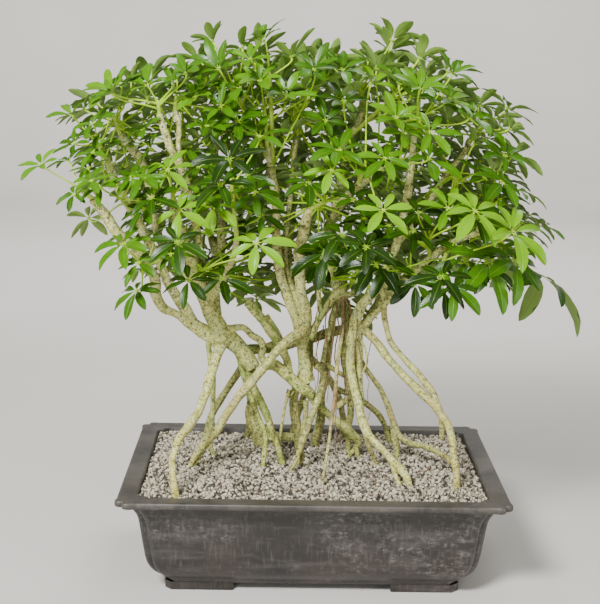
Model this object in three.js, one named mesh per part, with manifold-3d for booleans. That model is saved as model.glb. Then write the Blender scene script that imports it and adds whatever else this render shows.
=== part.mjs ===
// Schefflera bonsai: a banyan-style umbrella tree on stilt roots, in a rectangular plastic
// training pot filled with grit. Millimetres, +Z up, origin under the middle of the pot's feet,
// X to the right along the pot, Y to the back.
import * as THREE from 'three';
import { mergeVertices } from 'three/addons/utils/BufferGeometryUtils.js';
import Module from 'manifold-3d';

const wasm = await Module();
wasm.setup();

// Pot
const POT_LENGTH = 460;
const POT_WIDTH = 335;
const RIM_Z = 127;
const FLOOR_Z = 14;
const UNDERSIDE_Z = 9;
const CORNER = 14;
const FOOT_INNER_X = 95;
const FOOT_OUTER_X = 177;
const FOOT_INNER_Y = 50;
const FOOT_OUTER_Y = 114;
const FOOT_LEG = 24;
const HOLE_X = 95;
const HOLE_RADIUS = 14;
// Drainage screens
const SCREEN_SIDE = 60;
const SCREEN_THICKNESS = 1.5;
const SCREEN_CELLS = 3;
const SCREEN_BAR = 6;
// Grit
const GRIT_EDGE_Z = 121;
// Clearance that is left where one piece seats on or passes through another
const SEAT = 0.3;
// Leaves. The stalks open from the stem by an angle that falls from the lowest leaf to the top one,
// lifted towards the light. A leaf faces along its stalk, outwards and up by the three shares, and
// outwards is more to the front and back than to the sides. Leaflets droop, less and less above
// CROWN_Z, and rise in the top of the crown.
const STEM_RADIUS = 2.8;
const PETIOLE_RADIUS = 1.1;
const STALK_BEND = 12;
const LOWEST_OPENING = 88;
const OPENING_FALL = 46;
const STALK_LIFT = 0.28;
const STEEPEST_DIVE = -0.15;
const FACE_ALONG = 0.15;
const FACE_OUT = 0.45;
const FACE_UP = 0.7;
const SIDEWAYS = 0.25;
const DROOP_SPREAD = 0.3;
const CROWN_Z = 480;
const CROWN_LIFT = 0.004;
const MOST_LIFT = 0.5;
const LEAF_CROWN = 1.2;
const NOTCH_REACH = 0.3;
const GOLDEN_ANGLE = Math.PI * (3 - Math.sqrt(5));
// Smallest overlap, in cubic millimetres, that is cut away between two leafy shoots
const SLIVER = 0.004;

// Section of the pot from the middle of its underside, up the wall, over the lip and down inside:
// height, and distance in from the outer edge of the rim.
const POT_SECTION = [
  [UNDERSIDE_Z, 57], [9.6, 53], [16, 50], [22, 43], [31, 35], [47, 30], [77, 26], [97, 23],
  [107, 19], [114, 15.5], [117.5, 14], [118.5, 0.6], [126, 0], [RIM_Z, 1.2], [RIM_Z, 21.5],
  [125.5, 22.5], [107, 25], [77, 31.5], [47, 36], [31, 41], [20, 50], [15, 56], [FLOOR_Z, 62],
];
const GRIT_SECTION = [
  [FLOOR_Z + SEAT, 62.5], [15.5, 56.6], [20.4, 50.6], [31, 41.6], [47, 36.6], [77, 32],
  [107, 25.6], [GRIT_EDGE_Z, 23.7], [122.4, 70], [123.6, 125],
];

// Wood. Each limb is a list of points along its middle: x, y, z, radius. Limbs of one entry have
// grown into one another; each entry is one named stem or aerial root.
const WOOD = {
  left_trunk: [
    [[-113, 14, 275, 10], [-116, 15, 282, 11.3], [-123, 12, 303, 10], [-133, 10, 323, 9.4],
      [-140, 8, 342, 8.7], [-148, 5, 368, 8.1], [-155, 0, 390, 7.4], [-162, -5, 409, 6.8],
      [-169, -8, 431, 5.9], [-175, -10, 449, 4.9]],
    [[-114, 14, 290, 10], [-98, 14, 274, 9.4], [-85, 12, 260, 9.7], [-76, 8, 246, 9.3]],
    [[-111, 14, 292, 5.6], [-98, 10, 297, 4.4], [-88, 8, 297, 4], [-78, 8, 288, 4],
      [-68, 8, 282, 4.4], [-64, 7, 272, 4], [-66, 7, 261, 4.4], [-61, 8, 255, 5]],
    [[-132, 12, 331, 5.6], [-116, -8, 358, 4.9], [-103, -26, 386, 4.3], [-96, -38, 415, 3.6]],
  ],
  left_back_trunk: [
    [[-124, 18, 312, 6.5], [-126, 30, 345, 6.3], [-121, 42, 374, 5.7], [-119, 52, 401, 5.4],
      [-121, 60, 432, 5.1], [-127, 63, 463, 4.8], [-129, 65, 494, 4.5], [-127, 68, 525, 3.9]],
    [[-121, 42, 374, 5], [-135, 73, 408, 4.8], [-152, 93, 452, 4.4], [-164, 108, 500, 3.6]],
  ],
  left_upper_limbs: [
    [[-132, 11, 322, 6], [-138, 16, 338, 6.4], [-143, 22, 381, 5], [-147, 18, 415, 4.9],
      [-154, 2, 453, 4.9], [-164, -14, 496, 4.9], [-175, -22, 519, 4.9], [-184, -26, 544, 4.3],
      [-189, -28, 562, 3.7]],
    [[-164, -14, 496, 3.7], [-168, -12, 521, 3.4], [-167, -10, 550, 3.1], [-172, -10, 565, 2.8]],
    [[-138, 16, 334, 5.7], [-144, 24, 344, 5.7], [-157, 29, 357, 5.7], [-172, 30, 373, 5.4],
      [-189, 30, 391, 5.4], [-199, 28, 418, 5.4], [-204, 26, 447, 5.4], [-208, 24, 476, 5.3],
      [-215, 20, 501, 5.3], [-228, 16, 518, 5.3], [-240, 12, 534, 5]],
  ],
  left_low_limbs: [
    [[-126, 15, 282, 7], [-138, 14, 289, 7.5], [-151, 6, 298, 5.6], [-169, -4, 314, 4.9],
      [-187, -14, 327, 6.1], [-195, -22, 344, 6.7], [-197, -30, 369, 6.4], [-210, -38, 389, 6.4],
      [-228, -46, 411, 6.3], [-240, -50, 427, 6.3], [-254, -54, 448, 6], [-265, -58, 464, 5.1]],
    [[-138, 15, 289, 7.5], [-150, 10, 301, 6.9], [-162, 4, 323, 6.5], [-173, -2, 339, 5.9],
      [-183, -4, 360, 5.8], [-197, -6, 391, 5.5], [-207, -10, 411, 5.5], [-215, -14, 430, 5.5],
      [-225, -18, 447, 5.2], [-235, -20, 465, 4.9], [-245, -20, 485, 4.6], [-254, -20, 507, 4.3]],
  ],
  centre_trunk: [
    [[-8, 12, 228, 7.5], [-11, 12, 240, 8.7], [-13, 14, 256, 6.9], [-15, 14, 272, 6.6],
      [-14, 14, 290, 10], [-12, 10, 323, 6.5], [-18, 8, 346, 6.5], [-20, 6, 374, 6.8],
      [-20, 4, 400, 6.8], [-15, 2, 425, 6.8], [-9, 0, 448, 5.9]],
    [[-15, 14, 288, 6.9], [-27, 16, 318, 5.9], [-37, 18, 344, 6], [-45, 20, 372, 6],
      [-49, 22, 407, 5.7], [-50, 22, 444, 5.7], [-54, 20, 481, 5.3], [-61, 18, 521, 4.4]],
    [[-15, 14, 305, 3.8], [-25, 20, 339, 3.8], [-34, 28, 361, 3.8], [-39, 34, 386, 3.8],
      [-37, 40, 417, 3.5], [-33, 44, 454, 3.5], [-30, 46, 492, 3.2], [-26, 50, 529, 3.2]],
    [[-32, 26, 357, 4], [-33, 62, 392, 4.2], [-28, 84, 440, 4], [-26, 102, 496, 3.8],
      [-28, 111, 548, 3.2]],
  ],
  cross_limb: [
    [[-60, 8, 252, 6.9], [-46, 6, 249, 7.2], [-32, 4, 237, 6.8], [-17, 4, 224, 6.8],
      [-5, 6, 215, 6.2], [5, 10, 201, 5.6], [18, 14, 187, 4.7], [35, 20, 171, 5.6],
      [50, 26, 157, 6.3], [59, 32, 145, 5.4], [57, 34, 135, 3.8], [47, 35, 121, 2.5],
      [42, 36, 100, 2]],
    [[-82, 0, 331, 5], [-63, 6, 305, 5.6], [-46, 12, 279, 5.6], [-34, 16, 255, 4.7],
      [-30, 8, 240, 5]],
    [[-61, 20, 310, 3.8], [-48, 22, 287, 5.7], [-37, 18, 266, 4.4], [-34, 14, 250, 3.8]],
    [[57, 34, 137, 3.6], [60, 32, 121, 2.6], [61, 32, 98, 2]],
  ],
  right_trunk: [
    [[-6, 14, 282, 5], [0, 18, 296, 4.7], [11, 22, 315, 4.7], [23, 26, 331, 5.7],
      [31, 28, 341, 8.8], [28, 30, 353, 8.8], [21, 32, 371, 7.6], [16, 34, 393, 6.3],
      [14, 36, 413, 5.7], [23, 38, 441, 5.4], [30, 42, 470, 5.1], [34, 46, 503, 4.8],
      [37, 50, 527, 4.8], [51, 54, 548, 4.5], [57, 58, 567, 3.8]],
    [[17, 30, 368, 3.2], [6, 20, 347, 3.1], [6, 20, 325, 3.1], [10, 22, 310, 3.1]],
    [[22, 37, 438, 5.1], [36, 22, 460, 5], [49, 8, 476, 5], [64, -4, 490, 4.6],
      [80, -14, 504, 4.6]],
    [[32, 27, 336, 4.4], [44, 20, 339, 3.8], [55, 13, 347, 3.7], [66, 11, 356, 3.7]],
  ],
  right_limbs: [
    [[50, 10, 286, 8], [52, 10, 293, 8.7], [51, 8, 308, 6.9], [56, 4, 324, 6.5],
      [67, 0, 340, 6.2], [79, -2, 355, 5.6], [89, -6, 386, 5.3], [100, -10, 414, 5.2],
      [106, -12, 445, 4.9], [110, -12, 475, 4.6], [114, -10, 511, 4.3], [115, -8, 540, 3.7]],
    [[53, 12, 292, 6.3], [66, 14, 306, 5.3], [76, 14, 319, 5], [86, 14, 331, 4.4],
      [85, 8, 342, 3.8], [80, 2, 354, 3.7]],
    [[101, -10, 414, 4.3], [123, 10, 433, 4.4], [141, 30, 458, 4.1], [157, 44, 480, 3.8],
      [167, 50, 494, 3.8], [182, 56, 511, 3.5], [192, 60, 529, 3.2]],
  ],
  right_low_limb: [
    [[84, 12, 327, 4.7], [103, 4, 350, 4.7], [121, -6, 373, 4.6], [139, -14, 393, 4.3],
      [162, -20, 411, 4], [186, -24, 423, 3.7], [208, -26, 431, 3.7]],
  ],
  right_back_limbs: [
    [[62, 16, 301, 5], [78, 40, 322, 5], [96, 63, 362, 4.8], [112, 79, 412, 4.5],
      [124, 95, 466, 4.1], [130, 106, 522, 3.4]],
    [[82, 46, 330, 4.4], [118, 65, 356, 4.2], [156, 77, 384, 4], [196, 86, 410, 3.4]],
  ],
  aerial_root_left_front: [
    [[-115, 12, 290, 8], [-117, 12, 278, 8.7], [-121, 4, 263, 6.5], [-127, -8, 244, 5.9],
      [-133, -28, 223, 5.7], [-140, -50, 206, 5.4], [-150, -72, 194, 5.3], [-161, -95, 182, 4.7],
      [-167, -112, 167, 4], [-166, -124, 146, 4], [-162, -129, 121, 4.3], [-160, -130, 96, 3]],
  ],
  aerial_root_left_back: [
    [[-132, 13, 294, 4.4], [-132, 16, 267, 3.4], [-127, 16, 228, 3.4], [-127, 18, 192, 3.1],
      [-129, 22, 163, 3.1], [-131, 25, 143, 3.1], [-126, 27, 121, 2.5], [-124, 28, 98, 2]],
  ],
  aerial_root_long_front: [
    [[-14, 8, 297, 5], [-20, 0, 293, 5.6], [-38, -10, 281, 5.6], [-57, -18, 261, 5.8],
      [-72, -24, 241, 5.8], [-90, -26, 221, 5.4], [-103, -24, 201, 5.2], [-118, -20, 176, 5.2],
      [-132, -17, 157, 5.8], [-145, -15, 139, 4.3], [-155, -15, 121, 3.4], [-160, -15, 98, 2.4]],
    [[-133, -17, 155, 4.4], [-141, -12, 138, 3.4], [-149, -10, 121, 2.6], [-152, -9, 100, 2]],
  ],
  aerial_roots_green: [
    [[-78, 10, 242, 6], [-80, 12, 234, 5.6], [-75, 8, 219, 5.4], [-64, 4, 199, 5.3],
      [-54, 0, 174, 4.6], [-45, -2, 150, 4], [-37, -2, 121, 3.7], [-33, -2, 96, 2.6]],
    [[-96, 20, 262, 3.8], [-89, 18, 237, 3.4], [-80, 13, 211, 3.4], [-71, 7, 189, 3.1],
      [-60, -2, 163, 3.1], [-60, -10, 147, 3.1], [-62, -15, 121, 3.1], [-62, -16, 98, 2.2]],
    [[-60, -3, 161, 2.6], [-54, -2, 157, 2.4], [-48, -2, 157, 2.6]],
  ],
  aerial_roots_pale: [
    [[47, 8, 300, 5], [46, 4, 290, 5.6], [45, 0, 273, 5.3], [46, -6, 251, 5.2],
      [51, -14, 227, 5.5], [56, -24, 208, 5.5], [61, -32, 191, 5.8], [67, -40, 177, 5.4],
      [78, -50, 166, 4.8], [89, -60, 158, 4.5], [98, -68, 149, 5.1], [108, -74, 140, 5],
      [115, -79, 130, 4.4], [118, -85, 119, 2.9], [120, -88, 98, 2.2]],
    [[93, -64, 155, 3.8], [98, -70, 140, 3], [102, -74, 130, 2.7], [107, -78, 119, 2.4],
      [109, -79, 100, 2]],
    [[63, -34, 186, 3.4], [69, -20, 157, 3.1], [77, -8, 138, 2.8], [81, -1, 121, 2.8],
      [83, 1, 98, 2]],
    [[54, 12, 290, 5.6], [56, 10, 269, 5.6], [56, 6, 247, 5.6], [58, 0, 226, 4.4],
      [60, -8, 211, 4], [59, -20, 200, 3.4]],
    [[58, 8, 284, 1.6], [63, -4, 276, 1.4], [66, -8, 261, 1.4], [62, -8, 248, 1.3],
      [56, -6, 236, 1.3]],
  ],
  aerial_roots_right_outer: [
    [[57, 10, 300, 5], [72, 2, 289, 5], [86, -6, 272, 5.1], [97, -14, 260, 5],
      [109, -22, 248, 4.9], [121, -31, 237, 4.9], [135, -40, 227, 4.8], [147, -50, 216, 4.9],
      [155, -57, 206, 4.9], [163, -64, 196, 4.8], [168, -70, 179, 4.5], [169, -75, 161, 4.4],
      [173, -79, 144, 4.8], [174, -83, 121, 5], [174, -84, 96, 3.4]],
    [[86, 14, 326, 3.8], [88, 8, 310, 3.5], [93, -2, 290, 3.6], [101, -10, 277, 3.7],
      [114, -18, 264, 3.8], [127, -28, 252, 4], [136, -36, 242, 4.2], [144, -44, 232, 4.2],
      [150, -50, 221, 4.2], [154, -54, 210, 3.6]],
    [[156, -57, 206, 3.6], [157, -52, 188, 3.3], [158, -48, 174, 3]],
  ],
  aerial_roots_right_inner: [
    [[54, 18, 276, 3.4], [56, 24, 262, 3.1], [64, 26, 247, 3.1], [75, 28, 231, 3.2],
      [86, 30, 215, 3.3], [95, 32, 197, 3.5], [101, 32, 180, 3.8], [107, 31, 163, 4.1],
      [114, 28, 152, 4.1], [126, 16, 148, 4.1], [142, -2, 149, 3.7], [155, -24, 150, 3.7],
      [164, -48, 150, 3.3], [168, -66, 149, 3]],
    [[105, 32, 168, 3.8], [106, 32, 152, 4.4], [109, 31, 138, 3.8], [109, 29, 119, 3.8],
      [109, 28, 96, 2.6]],
  ],
  aerial_root_red: [
    [[36, 24, 338, 3], [36, 10, 311, 2.5], [33, -4, 286, 2.5], [29, -18, 264, 2.5],
      [27, -32, 242, 2.4], [25, -44, 220, 2.3], [22, -56, 198, 2], [18, -68, 170, 2],
      [14, -77, 143, 1.9], [11, -82, 121, 1.6], [10, -84, 102, 1.4]],
  ],
  aerial_roots_centre: [
    [[4, 26, 246, 3.8], [12, 22, 238, 3.8], [11, 12, 223, 4.4], [7, 0, 211, 4.7],
      [2, -8, 198, 4.3], [-4, -14, 185, 4], [-10, -20, 168, 4.3], [-15, -26, 155, 4.6],
      [-19, -28, 141, 3], [-27, -30, 122, 2.4], [-30, -31, 102, 1.9]],
    [[-9, 16, 202, 3.1], [-9, 8, 186, 3.1], [-12, -6, 170, 3.1], [-15, -24, 156, 3.7],
      [-13, -16, 136, 3.1], [-19, -6, 121, 2.5], [-21, -4, 100, 2]],
  ],
  right_root_bundle: [
    [[31, 28, 334, 5], [25, 26, 310, 3.8], [20, 26, 290, 4.1], [15, 26, 270, 3.5],
      [12, 26, 251, 3.5]],
    [[34, 30, 330, 4], [44, 34, 317, 3.2], [41, 34, 291, 3.8], [39, 36, 264, 3.8],
      [42, 40, 234, 3.5], [48, 40, 203, 4], [50, 46, 180, 4.8], [48, 52, 160, 4.5],
      [48, 56, 132, 3.4], [48, 57, 102, 2.4]],
    [[29, 32, 326, 4], [24, 44, 304, 4.5], [21, 46, 275, 5.1], [19, 48, 248, 4.5],
      [17, 50, 221, 4.2], [12, 52, 197, 4.8], [12, 62, 170, 5.8], [9, 70, 148, 5.8],
      [4, 80, 121, 5.2], [2, 82, 98, 3]],
    [[11, 27, 252, 3.2], [20, 31, 244, 3.2], [30, 35, 237, 3.2], [42, 39, 228, 3]],
    [[30, 36, 189, 3.8], [39, 38, 194, 4.1], [48, 40, 200, 4.2]],
  ],
  left_root_base: [
    [[-20, 12, 226, 5], [-22, 30, 215, 5], [-24, 40, 194, 5.7], [-21, 46, 168, 6.4],
      [-18, 52, 145, 5.8], [-17, 55, 122, 4.4], [-17, 56, 100, 3]],
    [[-78, 70, 182, 5.8], [-80, 74, 167, 7.1], [-73, 78, 147, 10.4], [-66, 80, 131, 9.7],
      [-64, 80, 104, 7]],
    [[-72, 78, 146, 7], [-46, 66, 140, 5.6], [-21, 54, 142, 5.4]],
    [[-30, 24, 214, 2.4], [-35, 18, 195, 2], [-38, 14, 177, 1.9], [-41, 8, 157, 1.9],
      [-43, 6, 122, 1.8], [-43, 6, 104, 1.5]],
    [[-25, 30, 212, 2.6], [-30, 24, 206, 2.4], [-32, 20, 212, 2.4]],
  ],
  back_roots: [
    [[-95, 24, 266, 6], [-70, 42, 262, 6.4], [-30, 52, 268, 6.8], [16, 56, 280, 6.4],
      [44, 42, 292, 6], [50, 20, 296, 5.4]],
    [[-78, 40, 262, 5.4], [-92, 66, 232, 5], [-112, 88, 196, 4.8], [-132, 104, 158, 4.6],
      [-142, 110, 121, 4.2], [-145, 111, 98, 2.8]],
    [[-88, 60, 238, 4], [-84, 88, 206, 4], [-82, 108, 166, 3.8], [-86, 118, 122, 3.6],
      [-87, 119, 98, 2.4]],
    [[-6, 54, 274, 5.4], [-4, 76, 238, 5], [-8, 98, 196, 4.6], [-18, 112, 156, 4.4],
      [-26, 118, 121, 4.2], [-28, 119, 98, 2.8]],
    [[-5, 70, 246, 4.6], [22, 88, 214, 4.4], [40, 104, 170, 4.2], [46, 112, 121, 4],
      [47, 113, 98, 2.6]],
    [[28, 94, 200, 3.8], [62, 96, 184, 3.8], [92, 104, 158, 3.8], [106, 108, 121, 3.6],
      [109, 109, 98, 2.4]],
  ],
};

// Leafy shoots. Each row: the foot and the tip of the green stem; how many leaves stand round it,
// the turn in degrees at which they start, and how long their stalks and leaflets are; then the
// hubs of the leaves that reach out from the tip, each with its own leaflet length.
const SHOOTS = [
  [[-265, -58, 464], [-281, -66, 478], 2, 210, 38, 36,
    [[-319, -88, 507, 34], [-284, -78, 472, 26], [-270, -58, 500, 31]]],
  [[-203, -34, 379], [-207, -50, 384], 1, 0, 46, 36,
    [[-228, -72, 413, 47], [-209, -88, 394, 36], [-214, -62, 356, 42]]],
  [[-254, -20, 507], [-262, -28, 525], 2, 270, 40, 36,
    [[-292, -30, 560, 34], [-264, -56, 552, 36], [-286, -55, 529, 30]]],
  [[-225, -18, 447], [-232, -48, 462], 1, 120, 74, 38,
    [[-217, -74, 493, 40], [-253, -78, 481, 36], [-193, -88, 470, 40]]],
  [[-240, 12, 534], [-247, 10, 555], 3, 30, 50, 38,
    [[-272, 24, 574, 38], [-234, -6, 572, 42], [-210, -18, 543, 34]]],
  [[-189, -28, 562], [-190, -32, 575], 2, 210, 52, 40,
    [[-242, -44, 588, 44], [-202, -36, 596, 41], [-172, -38, 600, 36]]],
  [[-172, -10, 565], [-171, -8, 583], 1, 30, 52, 40,
    [[-172, 10, 602, 39], [-146, -38, 583, 38]]],
  [[-175, -10, 449], [-174, -30, 471], 2, 240, 52, 38,
    [[-176, -68, 501, 40], [-160, -98, 458, 44], [-202, -82, 493, 36]]],
  [[-162, -5, 409], [-152, -38, 421], 1, 0, 76, 38,
    [[-121, -78, 461, 45], [-158, -150, 429, 44]]],
  [[-147, 2, 362], [-135, -28, 376], 1, 30, 74, 44,
    [[-152, -64, 370, 40], [-112, -70, 374, 42], [-70, -152, 429, 48]]],
  [[-96, -38, 415], [-103, -60, 494], 3, 120, 56, 46,
    [[-101, -134, 520, 50], [-74, -72, 477, 42], [-136, -82, 474, 42]]],
  [[-127, 68, 525], [-120, 68, 558], 2, 120, 52, 44,
    [[-149, 62, 602, 48], [-100, 58, 582, 43], [-132, 42, 577, 40]]],
  [[-61, 18, 521], [-66, 10, 570], 2, 90, 64, 46,
    [[-39, -28, 587, 46], [-70, -38, 603, 43], [-95, -36, 556, 46]]],
  [[-57, 20, 500], [-101, 30, 588], 3, 90, 74, 46,
    [[-128, 20, 647, 37], [-93, 14, 640, 45], [-146, 38, 625, 43]]],
  [[-52, 22, 462], [-59, 5, 606], 3, 210, 52, 46,
    [[-66, 0, 650, 44], [-33, 4, 630, 44], [-82, -28, 628, 41]]],
  [[-26, 50, 529], [-22, 50, 568], 5, 0, 52, 46,
    [[-21, 54, 610, 44], [11, 46, 617, 48], [-6, 12, 590, 47]]],
  [[-9, 0, 448], [11, -16, 460], 2, 270, 48, 42,
    [[15, -60, 503, 40], [-11, -50, 487, 41], [42, -52, 468, 41]]],
  [[80, -14, 504], [98, -20, 506], 1, 0, 74, 44,
    [[101, -38, 546, 43], [129, -62, 518, 45], [77, -66, 518, 40]]],
  [[49, 8, 476], [57, -16, 502], 2, 150, 52, 44,
    [[62, -10, 601, 42], [24, -60, 526, 45], [71, -150, 468, 42]]],
  [[57, 58, 567], [53, 50, 592], 3, 90, 64, 46,
    [[88, 30, 651, 50], [17, 50, 622, 43], [62, 63, 626, 38]]],
  [[43, 52, 536], [86, 36, 578], 2, 60, 64, 46,
    [[120, 16, 630, 52], [157, 26, 615, 50], [109, -18, 586, 49]]],
  [[115, -8, 540], [119, -14, 560], 2, 120, 74, 46,
    [[154, -26, 585, 48], [129, -64, 549, 45], [90, -56, 564, 43]]],
  [[192, 60, 529], [204, 58, 547], 2, 150, 52, 46,
    [[226, 34, 548, 48], [200, 50, 573, 43], [192, 77, 560, 44]]],
  [[167, 50, 494], [174, 22, 482], 2, 120, 64, 46,
    [[189, -2, 531, 47], [245, 50, 514, 48], [199, -28, 493, 46]]],
  [[208, -26, 431], [225, -8, 412], 2, 120, 52, 52,
    [[286, 40, 364, 94], [236, -54, 397, 60], [250, -6, 436, 50]]],
  [[193, -25, 426], [210, -14, 458], 1, 60, 52, 46,
    [[236, 2, 517, 49], [240, -14, 478, 49], [217, -56, 491, 43]]],
  [[139, -14, 393], [134, -36, 418], 1, 180, 52, 46,
    [[151, -80, 462, 45], [178, -116, 464, 53], [118, -74, 456, 42]]],
  [[162, -20, 411], [152, -46, 393], 2, 60, 64, 48,
    [[222, -108, 439, 61], [201, -68, 397, 71], [154, -136, 380, 51]]],
  [[121, -6, 375], [112, -36, 376], 2, 300, 52, 48,
    [[69, -84, 395, 58], [116, -74, 372, 47], [139, -150, 394, 50]]],
  [[72, 0, 345], [44, -38, 388], 2, 60, 52, 48,
    [[11, -68, 406, 50], [29, -80, 430, 47], [53, -150, 426, 46]]],
  [[130, 106, 522], [134, 109, 556], 4, 90, 52, 50,
    [[154, 107, 592, 46], [106, 103, 602, 48], [176, 93, 574, 46]]],
  [[196, 86, 410], [216, 91, 436], 3, 300, 64, 52,
    [[240, 81, 456, 50], [225, 100, 456, 50], [222, 90, 500, 48]]],
  [[-164, 108, 500], [-172, 110, 532], 4, 0, 58, 50,
    [[-220, 97, 544, 50], [-182, 109, 558, 48], [-146, 103, 590, 46]]],
  [[-28, 111, 548], [-30, 108, 580], 5, 210, 44, 48,
    [[-62, 104, 612, 46], [14, 102, 600, 46], [-24, 101, 618, 44]]],
];

function closedSolid(geometry) {
  const bare = geometry.index ? geometry.clone() : geometry;
  bare.deleteAttribute('normal');
  bare.deleteAttribute('uv');
  const merged = mergeVertices(bare, 1e-4);
  const vertProperties = new Float32Array(merged.getAttribute('position').array);
  const triVerts = new Uint32Array(merged.index.array);
  return new wasm.Manifold(new wasm.Mesh({ numProp: 3, vertProperties, triVerts }));
}

function solidFrom(points, faces) {
  const geometry = new THREE.BufferGeometry();
  geometry.setAttribute('position', new THREE.Float32BufferAttribute(points.flatMap((p) => [p.x, p.y, p.z]), 3));
  geometry.setIndex(faces.flat());
  return closedSolid(geometry);
}

function geometryOf(solid) {
  const mesh = solid.getMesh();
  const geometry = new THREE.BufferGeometry();
  geometry.setAttribute('position', new THREE.BufferAttribute(mesh.vertProperties, 3));
  geometry.setIndex(new THREE.BufferAttribute(mesh.triVerts, 1));
  return geometry;
}

// A closed skin through rings of equally many points, each ring anticlockwise seen from above the
// end of the list, with a fan to its own middle at either end.
function loft(rings) {
  const count = rings[0].length;
  const points = rings.flat();
  const faces = [];
  for (let ring = 0; ring + 1 < rings.length; ring += 1) {
    for (let i = 0; i < count; i += 1) {
      const a = ring * count + i;
      const b = ring * count + ((i + 1) % count);
      faces.push([a, b, b + count], [a, b + count, a + count]);
    }
  }
  const first = points.push(middleOf(rings[0])) - 1;
  const last = points.push(middleOf(rings.at(-1))) - 1;
  const top = (rings.length - 1) * count;
  for (let i = 0; i < count; i += 1) {
    const next = (i + 1) % count;
    faces.push([first, next, i], [last, top + i, top + next]);
  }
  return solidFrom(points, faces);
}

function middleOf(ring) {
  const sum = new THREE.Vector3();
  ring.forEach((p) => sum.add(p));
  return sum.divideScalar(ring.length);
}

// One level of the pot: a rectangle whose corners are cut back in two rounded steps.
function potRing(z, inset) {
  const x = POT_LENGTH / 2 - inset;
  const y = POT_WIDTH / 2 - inset;
  const step = Math.min(CORNER, y * 0.4);
  const corner = [
    [x, y - step], [x - step * 0.14, y - step * 0.6], [x - step * 0.5, y - step * 0.5],
    [x - step * 0.6, y - step * 0.14], [x - step, y],
  ];
  const mirrored = corner.map(([px, py]) => [-px, py]).reverse();
  const half = [...corner, ...mirrored];
  const other = half.map(([px, py]) => [-px, -py]);
  return [...half, ...other].map(([px, py]) => new THREE.Vector3(px, py, z));
}

function footSolid(signX, signY) {
  const outline = [
    [FOOT_INNER_X, FOOT_OUTER_Y], [FOOT_OUTER_X - 8, FOOT_OUTER_Y], [FOOT_OUTER_X, FOOT_OUTER_Y - 8],
    [FOOT_OUTER_X, FOOT_INNER_Y], [FOOT_OUTER_X - FOOT_LEG, FOOT_INNER_Y],
    [FOOT_OUTER_X - FOOT_LEG, FOOT_OUTER_Y - FOOT_LEG], [FOOT_INNER_X, FOOT_OUTER_Y - FOOT_LEG],
  ];
  const shape = new THREE.Shape(outline.map(([x, y]) => new THREE.Vector2(signX * x, signY * y)));
  return closedSolid(new THREE.ExtrudeGeometry(shape, { depth: UNDERSIDE_Z + 2, bevelEnabled: false }));
}

function drainageHole(x) {
  const drill = new THREE.CylinderGeometry(HOLE_RADIUS, HOLE_RADIUS, FLOOR_Z * 2, 24);
  drill.rotateX(Math.PI / 2);
  drill.translate(x, 0, FLOOR_Z);
  return closedSolid(drill);
}

function potSolid() {
  let pot = loft(POT_SECTION.map(([z, inset]) => potRing(z, inset)));
  for (const signX of [-1, 1]) {
    for (const signY of [-1, 1]) {
      pot = pot.add(footSolid(signX, signY));
    }
    pot = pot.subtract(drainageHole(signX * HOLE_X));
  }
  return pot;
}

function slab(width, depth, height, x, y, z) {
  const box = new THREE.BoxGeometry(width, depth, height);
  box.translate(x, y, z + height / 2);
  return closedSolid(box);
}

// A square of plastic mesh that lies on the pot's floor over a drainage hole.
function screenSolid(x) {
  const pitch = (SCREEN_SIDE - SCREEN_BAR) / SCREEN_CELLS;
  const bars = [];
  for (let i = 0; i <= SCREEN_CELLS; i += 1) {
    const across = (i - SCREEN_CELLS / 2) * pitch;
    const z = FLOOR_Z + SEAT;
    bars.push(slab(SCREEN_SIDE, SCREEN_BAR, SCREEN_THICKNESS, x, across, z));
    bars.push(slab(SCREEN_BAR, SCREEN_SIDE, SCREEN_THICKNESS, x + across, 0, z));
  }
  return bars.reduce((sum, bar) => sum.add(bar));
}

// The room that a screen takes in the grit, with its clearance.
function screenRoom(x) {
  const side = SCREEN_SIDE + 2 * SEAT;
  return slab(side, side, SCREEN_THICKNESS + 2 * SEAT, x, 0, FLOOR_Z);
}

// A stem of changing thickness: a ring across the path at each of its points.
function taperedTube(points, sides, grow = 0) {
  const middle = points.map(([x, y, z]) => new THREE.Vector3(x, y, z));
  const curve = new THREE.CatmullRomCurve3(middle, false, 'centripetal');
  const last = points.length - 1;
  let across = null;
  const rings = points.map(([, , , radius], i) => {
    const ahead = curve.getTangent(i / last).normalize();
    if (i > 0 && i < last) {
      ahead.subVectors(middle[i + 1], middle[i - 1]).normalize();
    }
    const side = across ?? (Math.abs(ahead.y) < 0.9 ? new THREE.Vector3(0, 1, 0) : new THREE.Vector3(1, 0, 0));
    across = side.clone().addScaledVector(ahead, -side.dot(ahead)).normalize();
    const other = new THREE.Vector3().crossVectors(ahead, across);
    const centre = middle[i].clone();
    if (grow > 0 && (i === 0 || i === last)) {
      centre.addScaledVector(ahead, i === 0 ? -grow : grow);
    }
    return Array.from({ length: sides }, (_, k) => {
      const angle = (k / sides) * 2 * Math.PI;
      return centre.clone()
        .addScaledVector(across, Math.cos(angle) * (radius + grow * 1.25))
        .addScaledVector(other, Math.sin(angle) * (radius + grow * 1.25));
    });
  });
  return loft(rings);
}

function woodSolid(limbs, grow = 0) {
  return limbs
    .map((limb) => taperedTube(limb, Math.max(...limb.map((p) => p[3])) > 8 ? 6 : 5, grow))
    .reduce((sum, tube) => sum.add(tube));
}

function largestBody(solid) {
  return solid.decompose().reduce((best, body) => (body.volume() > best.volume() ? body : best));
}

function boxesMeet(a, b) {
  const [p, q] = [a.boundingBox(), b.boundingBox()];
  return [0, 1, 2].every((k) => p.min[k] <= q.max[k] + 1 && q.min[k] <= p.max[k] + 1);
}

function fraction(value) {
  return value - Math.floor(value);
}

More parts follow.
